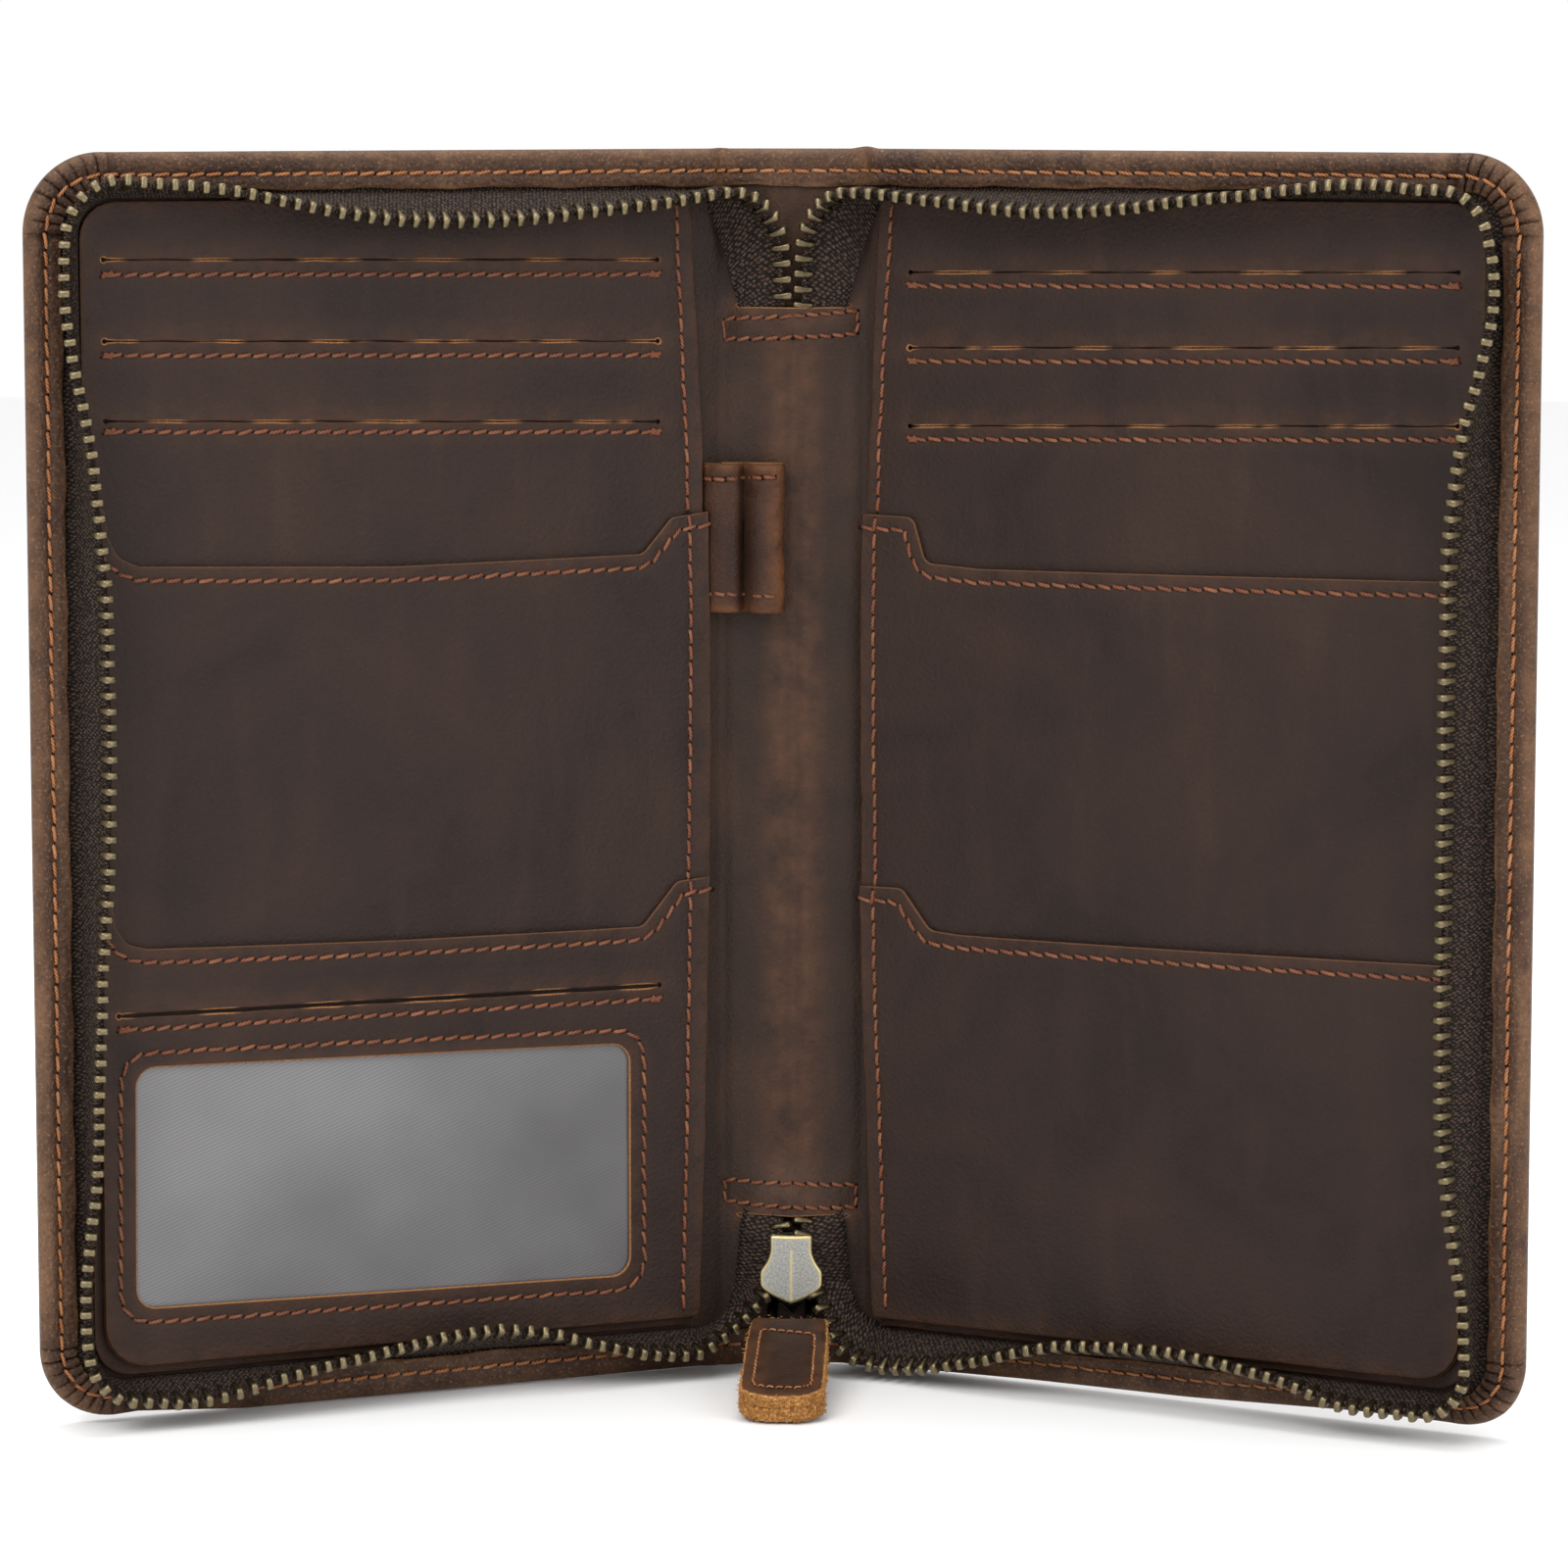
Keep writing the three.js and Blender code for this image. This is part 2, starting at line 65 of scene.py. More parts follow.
SIN, COS = math.sin(OPENING), math.cos(OPENING)
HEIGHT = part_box("right_outer_leather")[1].z / MM
COVER_WIDTH = (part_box("right_outer_leather")[1].x / MM - CREASE_X) / COS
SIDES = {"left": -1, "right": 1}

# Depths in from the outer face (w), and distances in from a cover's edge, as the CAD has them.
SHELL_INNER = 1.2
RIM_TOP = 4.6
SPINE_RIM_TOP = 3.9
BACKING = (3.2, 3.5)
PANEL = (3.8, 4.5)
MIDDLE = (4.8, 5.5)
LOWER = (5.8, 6.5)
CORNER_RADIUS = 13
BORDER_STITCH = 3.7
LAYER_INSET = 7.9
POCKET_INSET = 9.2
TAPE_INSET = 7.2
TAPE_FOOT = 4.2
TAPE_STAND = 9.0
BEND = 4.0  # half the width over which leather turns at a crease


def smooth(t):
    t = np.clip(t, 0, 1)
    return t * t * (3 - 2 * t)


# how far a cover's lower edge has ridden up, by distance out from the spine's centre line
LOWER_EDGE = {1: [(20, 0.3), (45, 0.9), (75, 1.1), (105, 2.1), (122, 2.0), (131, 0.6)],
              -1: [(100, 0), (118, 1.2), (131, 0.4)]}
LOWER_EDGE_REACH = 9.5  # how far up the leather the rise has died away


def place_sheet(side):
    """Leather that runs on round the crease: u goes out from the spine's centre line."""
    def place(u, z, w):
        u, z, w = np.broadcast_arrays(u, z, w)
        z = z + np.interp(u, *np.array(LOWER_EDGE[side], float).T) * (1 - smooth(z / LOWER_EDGE_REACH))
        a = u - CREASE_X
        k = smooth((a + BEND) / (2 * BEND))
        x = u + k * (a * COS - w * SIN - a)
        y = -w + k * (w - a * SIN - w * COS)
        return np.stack([side * x, CREASE_Y + y, z], -1)
    return place


def place_cover(side):
    """A cover's own rigid frame: s goes out from the crease."""
    def place(s, z, w):
        s, z, w = np.broadcast_arrays(s, z, w)
        return np.stack([side * (CREASE_X + s * COS - w * SIN), CREASE_Y - s * SIN - w * COS, z], -1)
    return place


def place_spine(x, z, w):
    x, z, w = np.broadcast_arrays(x, z, w)
    return np.stack([x + 0.0, CREASE_Y - w, z], -1)


# ---- meshes ----
class Build:
    """Points, faces, UVs in millimetres and each point's wear, gathered into one object."""

    def __init__(self):
        self.points, self.uv, self.wear, self.faces, self.slots = [], [], [], [], []
        self.count = 0

    def add(self, points, faces, uv, wear=0.0, slot=0, flip=False):
        points = np.asarray(points, float).reshape(-1, 3)
        n = len(points)
        self.points.append(points)
        self.uv.append(np.asarray(uv, float).reshape(-1, 2))
        self.wear.append(np.broadcast_to(np.ravel(wear).astype(float), (n,)))
        for face in faces:
            self.faces.append([int(i) + self.count for i in (face[::-1] if flip else face)])
            self.slots.append(slot)
        self.count += n

    def object(self, name, materials):
        mesh = bpy.data.meshes.new(name)
        mesh.from_pydata((np.concatenate(self.points) * MM).tolist(), [], self.faces)
        for m in materials:
            mesh.materials.append(m)
        mesh.polygons.foreach_set("material_index", self.slots)
        layer = mesh.uv_layers.new(name="UVMap")
        loops = np.empty(len(mesh.loops), int)
        mesh.loops.foreach_get("vertex_index", loops)
        layer.data.foreach_set("uv", np.concatenate(self.uv)[loops].ravel())
        values = mesh.attributes.new("wear", "FLOAT", "POINT")
        values.data.foreach_set("value", np.concatenate(self.wear))
        mesh.polygons.foreach_set("use_smooth", [True] * len(mesh.polygons))
        bm = bmesh.new()
        bm.from_mesh(mesh)
        edges = [e for e in bm.edges if e.is_boundary]
        for e in edges:
            e.smooth = False
        bmesh.ops.holes_fill(bm, edges=edges, sides=0)
        bmesh.ops.recalc_face_normals(bm, faces=bm.faces)
        bm.to_mesh(mesh)
        bm.free()
        return linked(bpy.data.objects.new(name, mesh))


def linked(obj):
    bpy.context.scene.collection.objects.link(obj)
    return obj


def grid_faces(rows, columns, wrap_rows=False, wrap_columns=False):
    i, j = np.indices((rows - (not wrap_rows), columns - (not wrap_columns))).reshape(2, -1)
    i2, j2 = (i + 1) % rows, (j + 1) % columns
    return np.stack([i * columns + j, i2 * columns + j, i2 * columns + j2, i * columns + j2], 1).tolist()


def unit(v):
    return v / np.maximum(np.linalg.norm(v, axis=-1, keepdims=True), 1e-12)


def lengths(points):
    return np.concatenate([[0], np.cumsum(np.linalg.norm(np.diff(points, axis=0), axis=1))])


def resample(points, step=None, count=None):
    """Even points along a polyline."""
    points = np.asarray(points, float)
    d = lengths(points)
    count = count or max(2, int(round(d[-1] / step)) + 1)
    t = np.linspace(0, d[-1], count)
    return np.stack([np.interp(t, d, points[:, k]) for k in range(points.shape[1])], 1)


def divided(points, step, closed=True):
    """A polyline with long segments divided and its corners kept."""
    points = np.asarray(points, float)
    ends = np.roll(points, -1, 0) if closed else points[1:]
    out = []
    for a, b in zip(points, ends):
        n = max(1, int(math.ceil(np.linalg.norm(b - a) / step)))
        out += [a + (b - a) * k / n for k in range(n)]
    if not closed:
        out.append(points[-1])
    return np.array(out)


def rounded(points, radii, steps=6, closed=True):
    """A polyline with its corners turned into arcs."""
    points = [np.asarray(p, float) for p in points]
    n = len(points)
    radii = [radii] * n if np.isscalar(radii) else radii
    out = []
    for i, (p, r) in enumerate(zip(points, radii)):
        if r == 0 or (not closed and i in (0, n - 1)):
            out.append(p)
            continue
        a, b = unit(points[i - 1] - p), unit(points[(i + 1) % n] - p)
        half = math.acos(np.clip(a @ b, -1, 1)) / 2
        centre = p + unit(a + b) * r / math.sin(half)
        t0, t1 = p + a * r / math.tan(half) - centre, p + b * r / math.tan(half) - centre
        start = math.atan2(t0[1], t0[0])
        turn = (math.atan2(t1[1], t1[0]) - start + math.pi) % (2 * math.pi) - math.pi
        out += [centre + r * np.array([math.cos(start + turn * k / steps),
                                       math.sin(start + turn * k / steps)]) for k in range(steps + 1)]
    return np.array(out)


def catmull(points, count):
    """A smooth curve through points in any number of dimensions, evenly spaced along it."""
    p = np.asarray(points, float)
    p = np.concatenate([[2 * p[0] - p[1]], p, [2 * p[-1] - p[-2]]])
    out = []
    for i in range(1, len(p) - 2):
        t = np.linspace(0, 1, 12, endpoint=False)[:, None]
        a, b, c, d = p[i - 1:i + 3]
        out.append(0.5 * (2 * b + (c - a) * t + (2 * a - 5 * b + 4 * c - d) * t ** 2
                          + (3 * b - a - 3 * c + d) * t ** 3))
    return resample(np.concatenate(out + [p[-2][None]]), count=count)


def ripple(x, seed, wave):
    """A smooth unevenness between about -1 and 1 along x, the same every run."""
    phases = np.random.default_rng(seed).uniform(0, 2 * math.pi, 3)
    return sum(np.sin(x * 2 * math.pi / (wave * f) + p) * a
               for f, p, a in zip((1, 0.43, 0.21), phases, (0.55, 0.3, 0.15)))


def ringed(loop):
    """A closed loop as a line that comes back to its first point."""
    return np.concatenate([loop, loop[:1]])


BATCH = 2000  # points measured at a time, to keep memory small


def distance_to(points, polylines):
    """How far each point is from the nearest of several polylines."""
    if not len(polylines) or not len(points):
        return np.full(len(points), 1e9)
    a = np.concatenate([p[:-1] for p in polylines])
    d = np.concatenate([p[1:] for p in polylines]) - a
    best = np.full(len(points), 1e9)
    for k in range(0, len(points), BATCH):
        p = points[k:k + BATCH, None]
        t = np.clip(((p - a) * d).sum(-1) / np.maximum((d * d).sum(-1), 1e-12), 0, 1)
        best[k:k + BATCH] = np.linalg.norm(p - a - t[..., None] * d, axis=-1).min(1)
    return best


def inside(points, loops):
    """Which points lie inside the outline and outside its holes."""
    hit = np.zeros(len(points), bool)
    for loop in loops:
        a, b = loop, np.roll(loop, -1, 0)
        for k in range(0, len(points), BATCH):
            x, y = points[k:k + BATCH, 0, None], points[k:k + BATCH, 1, None]
            spans = (a[:, 1] > y) != (b[:, 1] > y)
            with np.errstate(divide="ignore", invalid="ignore"):
                cross = a[:, 0] + (y - a[:, 1]) / (b[:, 1] - a[:, 1]) * (b[:, 0] - a[:, 0])
            hit[k:k + BATCH] ^= (spans & (x < cross)).sum(1) % 2 == 1
    return hit


def area(loop):
    a, b = loop, np.roll(loop, -1, 0)
    return 0.5 * (a[:, 0] * b[:, 1] - b[:, 0] * a[:, 1]).sum()


def inset_normals(loop, seam):
    """At each corner, the move that insets a closed loop by one; none across the seam."""
    edge = unit(np.roll(loop, -1, 0) - loop)
    normal = np.stack([-edge[:, 1], edge[:, 0]], 1)
    before = np.roll(normal, 1, 0)
    move = (before + normal) / np.maximum(1 + (before * normal).sum(1), 0.35)[:, None]
    if seam:
        move[np.abs(loop[:, 0]) < 1e-6, 0] = 0
    return move


GROOVE = np.array([-1.1, -0.55, 0, 0.55, 1.1])  # rows of points across a line of stitching
GROOVE_STEP = 1.4
GROOVE_DEPTH = 0.16
GROOVE_CLEAR = 1.8  # the even grid stays this far from stitching
SLIT_HEIGHT = 5  # holes flatter than this are slits, bare leather only in patches
RAW_LINE = 0.16  # how far a cut edge's raw colour runs in over the top


def fill_points(loops, grid, guides, margin=0.7):
    """Interior points: an even grid, or given columns and rows, with closer rows beside stitching."""
    low, high = loops[0].min(0), loops[0].max(0)
    if np.isscalar(grid):
        columns = np.arange(low[0] + grid / 2, high[0], grid)
        rows = np.arange(low[1] + grid / 2, high[1], grid)
    else:
        columns, rows = grid
    p = np.stack(np.meshgrid(columns, rows, indexing="ij"), -1).reshape(-1, 2)
    closed = [ringed(loop) for loop in loops]
    p = p[inside(p, loops)]
    p = p[distance_to(p, closed) > margin]
    if guides:
        p = p[distance_to(p, guides) > GROOVE_CLEAR]
        extra = []
        for guide in guides:
            line = resample(guide, GROOVE_STEP)
            along = unit(np.gradient(line, axis=0))
            across = np.stack([-along[:, 1], along[:, 0]], 1)
            extra += [line + across * g for g in GROOVE]
        extra = np.concatenate(extra)
        extra = extra[inside(extra, loops)]
        extra = extra[distance_to(extra, closed) > 0.3]
        _, keep = np.unique(np.round(extra / 0.25).astype(int), axis=0, return_index=True)
        extra = extra[np.sort(keep)]
        p = np.concatenate([p, extra])
    return p


def triangles(rings, interior):
    """Constrained triangles between ring loops, as indices into the rings' points then the interior's."""
    points = np.concatenate([*rings, interior])
    edges, start = [], 0
    for ring in rings:
        n = len(ring)
        edges += [(start + k, start + (k + 1) % n) for k in range(n)]
        start += n
    _, _, faces, origin, _, _ = delaunay_2d_cdt(points.tolist(), edges, [], 0, 1e-7)[:6]
    index = np.array([o[0] if len(o) else -1 for o in origin])
    verts = index[np.array(faces)]
    verts = verts[(verts >= 0).all(1)]
    if area(rings[0]) < 0:
        edges = [(b, a) for a, b in edges]
    return points, verts[kept(verts, edges)]


def kept(verts, edges):
    """Which triangles lie on the left of the ring edges, spreading from the rings inward."""
    size = verts.max() + 1
    ring = {a * size + b for a, b in edges}
    state, owner = {}, {}
    for t, (a, b, c) in enumerate(verts.tolist()):
        for p, q in ((a, b), (b, c), (c, a)):
            owner[p * size + q] = t
            if p * size + q in ring:
                state[t] = True
            elif q * size + p in ring:
                state[t] = False
    front = list(state)
    while front:
        t = front.pop()
        a, b, c = verts[t].tolist()
        for p, q in ((a, b), (b, c), (c, a)):
            near = owner.get(q * size + p)
            if near is None or near in state or p * size + q in ring or q * size + p in ring:
                continue
            state[near] = state[t]
            front.append(near)
    return np.array([state.get(t, False) for t in range(len(verts))])


def layer(name, place, side, loops, depth, materials, grid=2.2, stitches=(), lift=None, bevel=0.2,
          seam=False, outline_raw=0.7):
    """A leather layer with rounded, raw cut edges and a groove pressed in along its stitching.
    lift(s, z) raises the whole thickness. outline_raw is how bare the outline's edge is; the holes'
    edges are fully bare. Returns the object and its surface function."""
    low, high = depth
    loops = [np.asarray(loop) if (area(loop) > 0) == (i == 0) else np.asarray(loop)[::-1]
             for i, loop in enumerate(loops)]
    lines = [np.asarray(s, float) for s in stitches]
    lift = lift or (lambda s, z: np.zeros(np.shape(s)))

    def surface(s, z):
        p = np.stack([np.ravel(s), np.ravel(z)], 1)
        dip = np.exp(-(distance_to(p, lines) / 0.55) ** 2) * GROOVE_DEPTH if lines else 0
        return (high + lift(p[:, 0], p[:, 1]) - dip).reshape(np.shape(s))

    moves = [inset_normals(loop, seam) for loop in loops]
    profile = [(bevel, low), (0, low + bevel), (0, high - bevel), (0.3 * bevel, high - 0.3 * bevel),
               (bevel, high), (bevel + RAW_LINE, high)]
    worn = [1, 1, 1, 0.95, 0.8]
    rings = [loop + (bevel + RAW_LINE) * move for loop, move in zip(loops, moves)]
    interior = fill_points(rings, grid, lines)
    flat, faces = triangles(rings, interior)
    count = sum(len(loop) for loop in loops)
    build = Build()
    edge = [ringed(loop) for loop in loops]
    if seam:
        edge = [loop[np.abs(loop[:, 0]) >= 1e-6] for loop in edge]
    points, uvs, wear = [], [], []
    for (inset, w), shade in zip(profile[:-1], worn):
        for loop, move in zip(loops, moves):
            p = loop + inset * move
            points.append(np.column_stack([p, w + lift(p[:, 0], p[:, 1])]))
            uvs.append(loop - move * (high - w))
            bare = outline_raw if loop is loops[0] else 1
            if loop is not loops[0] and np.ptp(loop[:, 1]) < SLIT_HEIGHT:
                bare = 0.6 + 0.4 * smooth(ripple(loop[:, 0], int(loop[0, 1]), 19) / 0.35)
            wear.append(np.full(len(p), shade) * bare)
    top = np.column_stack([flat, surface(flat[:, 0], flat[:, 1])])
    distance = distance_to(flat, edge)
    points.append(top)
    uvs.append(flat)
    wear.append(np.where(np.arange(len(flat)) < count, 0.44, 0.46 * np.clip(1 - distance / 4, 0, 1)))
    under = flat[count:]
    points.append(np.column_stack([under, low + lift(under[:, 0], under[:, 1])]))
    uvs.append(under + 500)
    wear.append(np.ones(len(under)))
    every = np.concatenate(points)
    quads, start = [], 0
    for loop in loops:
        n = len(loop)
        for ring in range(len(profile) - 1):
            for k in range(n):
                a, b = start + k, start + (k + 1) % n
                c, d = a + count * ring, b + count * ring
                quads.append((c, d, d + count, c + count))
        start += n
    base = count * (len(profile) - 1)
    tops = (faces + base).tolist()
    bottoms = np.where(faces < count, faces, faces + base + len(flat) - count)[:, ::-1].tolist()
    build.add(place(*every.T), quads + tops + bottoms,
              np.concatenate(uvs) * [side, 1], np.concatenate(wear), flip=side < 0)
    obj = build.object(name, materials)
    if seam:
        mark_seam(obj)
    return obj, surface


def mark_seam(obj):
    """Shading stops at the centre line, where two halves of one skin meet."""
    mesh = obj.data
    x = np.array([v.co.x for v in mesh.vertices])
    flags = [bool(abs(x[a]) < 1e-7 and abs(x[b]) < 1e-7) for a, b in (e.vertices for e in mesh.edges)]
    sharp = mesh.attributes.get("sharp_edge") or mesh.attributes.new("sharp_edge", "BOOLEAN", "EDGE")
    sharp.data.foreach_set("value", flags)


# ---- stitches ----
STITCH = 2.75
THREAD = 0.3
CAPSULE = np.array([[0, 0.45, -0.34], [0.06, 0.85, -0.12], [0.16, 1, 0.08], [0.34, 1.03, 0.19],
                    [0.5, 1.03, 0.22], [0.66, 1.03, 0.19], [0.84, 1, 0.08], [0.94, 0.85, -0.12],
                    [1, 0.45, -0.34]])  # along, radius, rise
SPOKES = 8
STITCH_END = 0.03  # how far a stitch stops short of its needle hole's middle
HOLE_SIDES = 7


def stitches(build, place, side, path, surface, pitch=STITCH, slant=0.26, thread=THREAD, hole=0.47,
             face=1):
    """Threads between needle holes along a path on a surface; face -1 sews on a layer's far side."""
    path = np.asarray(path, float)
    nodes = resample(path, pitch)
    jitter = np.random.default_rng(int(abs(nodes.sum()) * 10) % 99991)
    nodes = nodes + jitter.normal(0, 0.045, nodes.shape)
    a, b = nodes[:-1], nodes[1:]
    along = unit(b - a)
    across = np.stack([-along[:, 1], along[:, 0]], 1)
    tilt = (slant + jitter.normal(0, 0.03, len(a)))[:, None]
    move = along * STITCH_END + across * tilt
    a, b = a + move, b - move
    t, radius, rise = CAPSULE.T
    centre = a[:, None] + (b - a)[:, None] * t[:, None]
    ground = surface(centre[..., 0], centre[..., 1])
    angle = np.arange(SPOKES) * 2 * math.pi / SPOKES
    spread = thread * radius[:, None] * np.cos(angle)
    flat = centre[:, :, None] + across[:, None, None] * spread[..., None]
    w = (ground + face * rise * (0.8 + jitter.uniform(0, 0.4, (len(a), 1))))[..., None] \
        + face * thread * 0.85 * radius[:, None] * np.sin(angle)
    n, rings = len(a), len(t)
    points = place(flat[..., 0], flat[..., 1], w).reshape(-1, 3)
    one = grid_faces(rings, SPOKES, wrap_columns=True)
    one += [list(range(SPOKES)), [(rings - 1) * SPOKES + k for k in reversed(range(SPOKES))]]
    faces = [[i + k * rings * SPOKES for i in f] for k in range(n) for f in one]
    uv = np.stack(np.broadcast_arrays(t[None, :, None] * pitch + np.arange(n)[:, None, None] * 7.3,
                                      np.arange(SPOKES)[None, None] * 2.6 * thread * math.pi / SPOKES), -1)
    flip = (side < 0) != (face < 0)
    build.add(points, faces, uv, flip=flip)
    # needle holes: small lenses in the dark hole colour, painted shade for each hole's depth, set in the
    # surface: a rim and then a middle above and below it
    ring = np.arange(HOLE_SIDES) * 2 * math.pi / HOLE_SIDES
    spokes = np.concatenate([hole * np.stack([np.cos(ring), np.sin(ring)], 1), np.zeros((2, 2))])
    rise = face * np.array([-0.02] * HOLE_SIDES + [0.12, -0.2])
    s, z = (nodes[:, None] + spokes).reshape(-1, 2).T
    w = (surface(nodes[:, 0], nodes[:, 1])[:, None] + rise).ravel()
    cup = [[k, (k + 1) % HOLE_SIDES, HOLE_SIDES] for k in range(HOLE_SIDES)]
    cup += [[b, a, HOLE_SIDES + 1] for a, b, _ in cup]
    faces = [[i + k * (HOLE_SIDES + 2) for i in f] for k in range(len(nodes)) for f in cup]
    build.add(place(s, z, w), faces, np.column_stack([s, z]), slot=1, flip=flip)


# ---- materials ----
def linear(r, g, b):
    return tuple((c / 255 / 12.92 if c <= 10 else ((c / 255 + 0.055) / 1.055) ** 2.4)
                 for c in (r, g, b)) + (1.0,)


class Shader:
    """A material with short ways to make and join its nodes. Its vector is the UV, in millimetres."""

    def __init__(self, name):
        self.material = bpy.data.materials.new(name)
        self.material.use_nodes = True
        self.tree = self.material.node_tree
        self.surface = self.tree.nodes["Principled BSDF"]
        self.uv = self.node("UVMap", uv_map="UVMap").outputs["UV"]

    def node(self, kind, inputs=None, **settings):
        made = self.tree.nodes.new("ShaderNode" + kind)
        for key, value in settings.items():
            setattr(made, key, value)
        for key, value in (inputs or {}).items():
            self.put(made.inputs[key], value)
        return made

    def put(self, socket, value):
        if isinstance(value, bpy.types.NodeSocket):
            self.tree.links.new(value, socket)
        else:
            socket.default_value = value

    def scaled(self, x, y, angle):
        return self.node("Mapping", {"Vector": self.uv, "Scale": (x, y, 1),
                                     "Rotation": (0, 0, math.radians(angle))}).outputs["Vector"]

    def noise(self, size, detail=3.0, roughness=0.55, vector=None, distortion=0.0):
        return self.node("TexNoise", {"Vector": vector or self.uv, "Scale": 1 / size,
                                      "Detail": detail, "Roughness": roughness,
                                      "Distortion": distortion}).outputs["Fac"]

    def pebbles(self, size):
        return self.node("TexVoronoi", {"Vector": self.uv, "Scale": 1 / size},
                         feature="SMOOTH_F1").outputs["Distance"]

    def range(self, value, low, high, to_low=0.0, to_high=1.0):
        return self.node("MapRange", {"Value": value, "From Min": low, "From Max": high,
                                      "To Min": to_low, "To Max": to_high}).outputs["Result"]

    def maths(self, operation, a, b):
        return self.node("Math", {0: a, 1: b}, operation=operation).outputs[0]

    def mix(self, factor, a, b):
        made = self.node("Mix", data_type="RGBA")
        self.put(made.inputs[0], factor)
        self.put(made.inputs[6], a)
        self.put(made.inputs[7], b)
        return made.outputs[2]

    def wear(self):
        return self.node("Attribute", attribute_name="wear").outputs["Fac"]

    def bump(self, height, distance, strength, after=None):
        made = self.node("Bump", {"Height": height, "Distance": distance * MM, "Strength": strength})
        if after:
            self.put(made.inputs["Normal"], after)
        return made.outputs["Normal"]

    def finish(self, colour, roughness, normal=None, **fixed):
        self.put(self.surface.inputs["Base Color"], colour)
        self.put(self.surface.inputs["Roughness"], roughness)
        if normal:
            self.put(self.surface.inputs["Normal"], normal)
        for key, value in fixed.items():
            self.surface.inputs[key.replace("_", " ")].default_value = value
        return self.material


RAW = (linear(92, 60, 36), linear(168, 118, 74))


def leather(name, dark, middle, light, patch, grain, grain_depth, gloss, mottle, wear_colour,
            wear_reach, raw_colours=RAW, fibre_depth=0.16, fibre=0.35, streaks=0.55):
    """Waxed pull-up leather: cloudy patches, fine grain, pale wear at edges, raw tan where cut."""
    s = Shader(name)
    wear = s.wear()
    clouds = s.noise(patch, 4.0, 0.6, distortion=0.6)
    fine = s.noise(grain * 1.3, 3.0, 0.7)
    streak = s.noise(9, 3.0, 0.6, vector=s.scaled(1.0, 0.22, 24))
    colour = s.mix(s.range(clouds, 0.36, 0.66), dark, middle)
    colour = s.mix(s.range(streak, 0.52, 0.78, 0, streaks), colour, light)
    colour = s.mix(s.range(fine, 0.35, 0.75, 0, mottle), colour, dark)
    speck = s.range(s.noise(grain * 0.8, 2.0, 0.8), 0.56, 0.72, 0, mottle * 0.9)
    colour = s.mix(speck, colour, light)
    rubbed = s.maths("MULTIPLY", s.range(wear, 0.0, 0.48), s.range(s.noise(5, 4.0, 0.65), 0.3, 0.7))
    colour = s.mix(s.maths("MULTIPLY", rubbed, wear_reach), colour, wear_colour)
    fibres = s.noise(fibre, 4.0, 0.8)
    cut = s.mix(s.range(fibres, 0.32, 0.66), *raw_colours)
    raw = s.range(wear, 0.55, 0.95)
    colour = s.mix(raw, colour, cut)
    rough = s.maths("ADD", s.range(clouds, 0.3, 0.7, gloss - 0.05, gloss + 0.07),
                    s.range(fine, 0.3, 0.7, -0.05, 0.06))
    rough = s.maths("MAXIMUM", rough, s.range(raw, 0, 1, 0, 0.9))
    height = s.maths("ADD", s.maths("MULTIPLY", s.pebbles(grain), 0.8), s.maths("MULTIPLY", fine, 0.6))
    normal = s.bump(height, grain_depth, 0.9)
    normal = s.bump(s.noise(4.5, 4.0, 0.6, distortion=0.8), 0.14, 0.6, after=normal)
    normal = s.bump(s.maths("MULTIPLY", fibres, raw), fibre_depth, 0.9, after=normal)
    return s.finish(colour, rough, normal, Specular_IOR_Level=0.16)


OUTER = leather("outer_leather", linear(50, 34, 26), linear(86, 61, 45), linear(130, 98, 72),
                patch=14, grain=0.75, grain_depth=0.3, gloss=0.5, mottle=0.85,
                wear_colour=linear(134, 98, 68), wear_reach=0.55)
INNER = leather("inner_leather", linear(34, 24, 21), linear(49, 35, 29), linear(72, 50, 39),
                patch=46, grain=0.55, grain_depth=0.12, gloss=0.5, mottle=0.36, streaks=0.2,
                wear_colour=linear(84, 55, 38), wear_reach=0.4)
LINED = leather("lining_leather", linear(37, 27, 22), linear(54, 38, 30), linear(80, 57, 43),
                patch=24, grain=0.5, grain_depth=0.14, gloss=0.52, mottle=0.5, streaks=0.4,
                wear_colour=linear(98, 66, 46), wear_reach=0.5)
PULLED = leather("pull_leather", linear(38, 25, 19), linear(58, 38, 28), linear(98, 65, 45),
                 patch=6, grain=0.4, grain_depth=0.07, gloss=0.5, mottle=0.45,
                 wear_colour=linear(112, 74, 46), wear_reach=0.6,
                 raw_colours=(linear(104, 54, 24), linear(255, 190, 112)), fibre_depth=0.6, fibre=0.55)
LOOP = leather("loop_leather", linear(42, 27, 21), linear(58, 38, 28), linear(92, 61, 42),
               patch=9, grain=0.5, grain_depth=0.16, gloss=0.5, mottle=0.5,
               wear_colour=linear(118, 74, 44), wear_reach=1.0)


def thread_material(name, dark, light, pale):
    s = Shader(name)
    ply = s.node("TexWave", {"Vector": s.scaled(1, 1, 38), "Scale": 0.55, "Distortion": 0.4},
                 bands_direction="X").outputs["Fac"]
    colour = s.mix(ply, dark, light)
    colour = s.mix(s.range(s.noise(6, 3.0), 0.45, 0.75, 0, 0.5), colour, pale)
    return s.finish(colour, 0.55, s.bump(ply, 0.09, 0.8), Specular_IOR_Level=0.3)


# needle holes are coloured dark: painted shade for the inside of each hole
def hole_shade_material():
    s = Shader("needle_hole_shade")
    return s.finish(s.mix(s.noise(0.5), linear(20, 13, 10), linear(38, 25, 19)), 0.85,
                    Specular_IOR_Level=0.1)


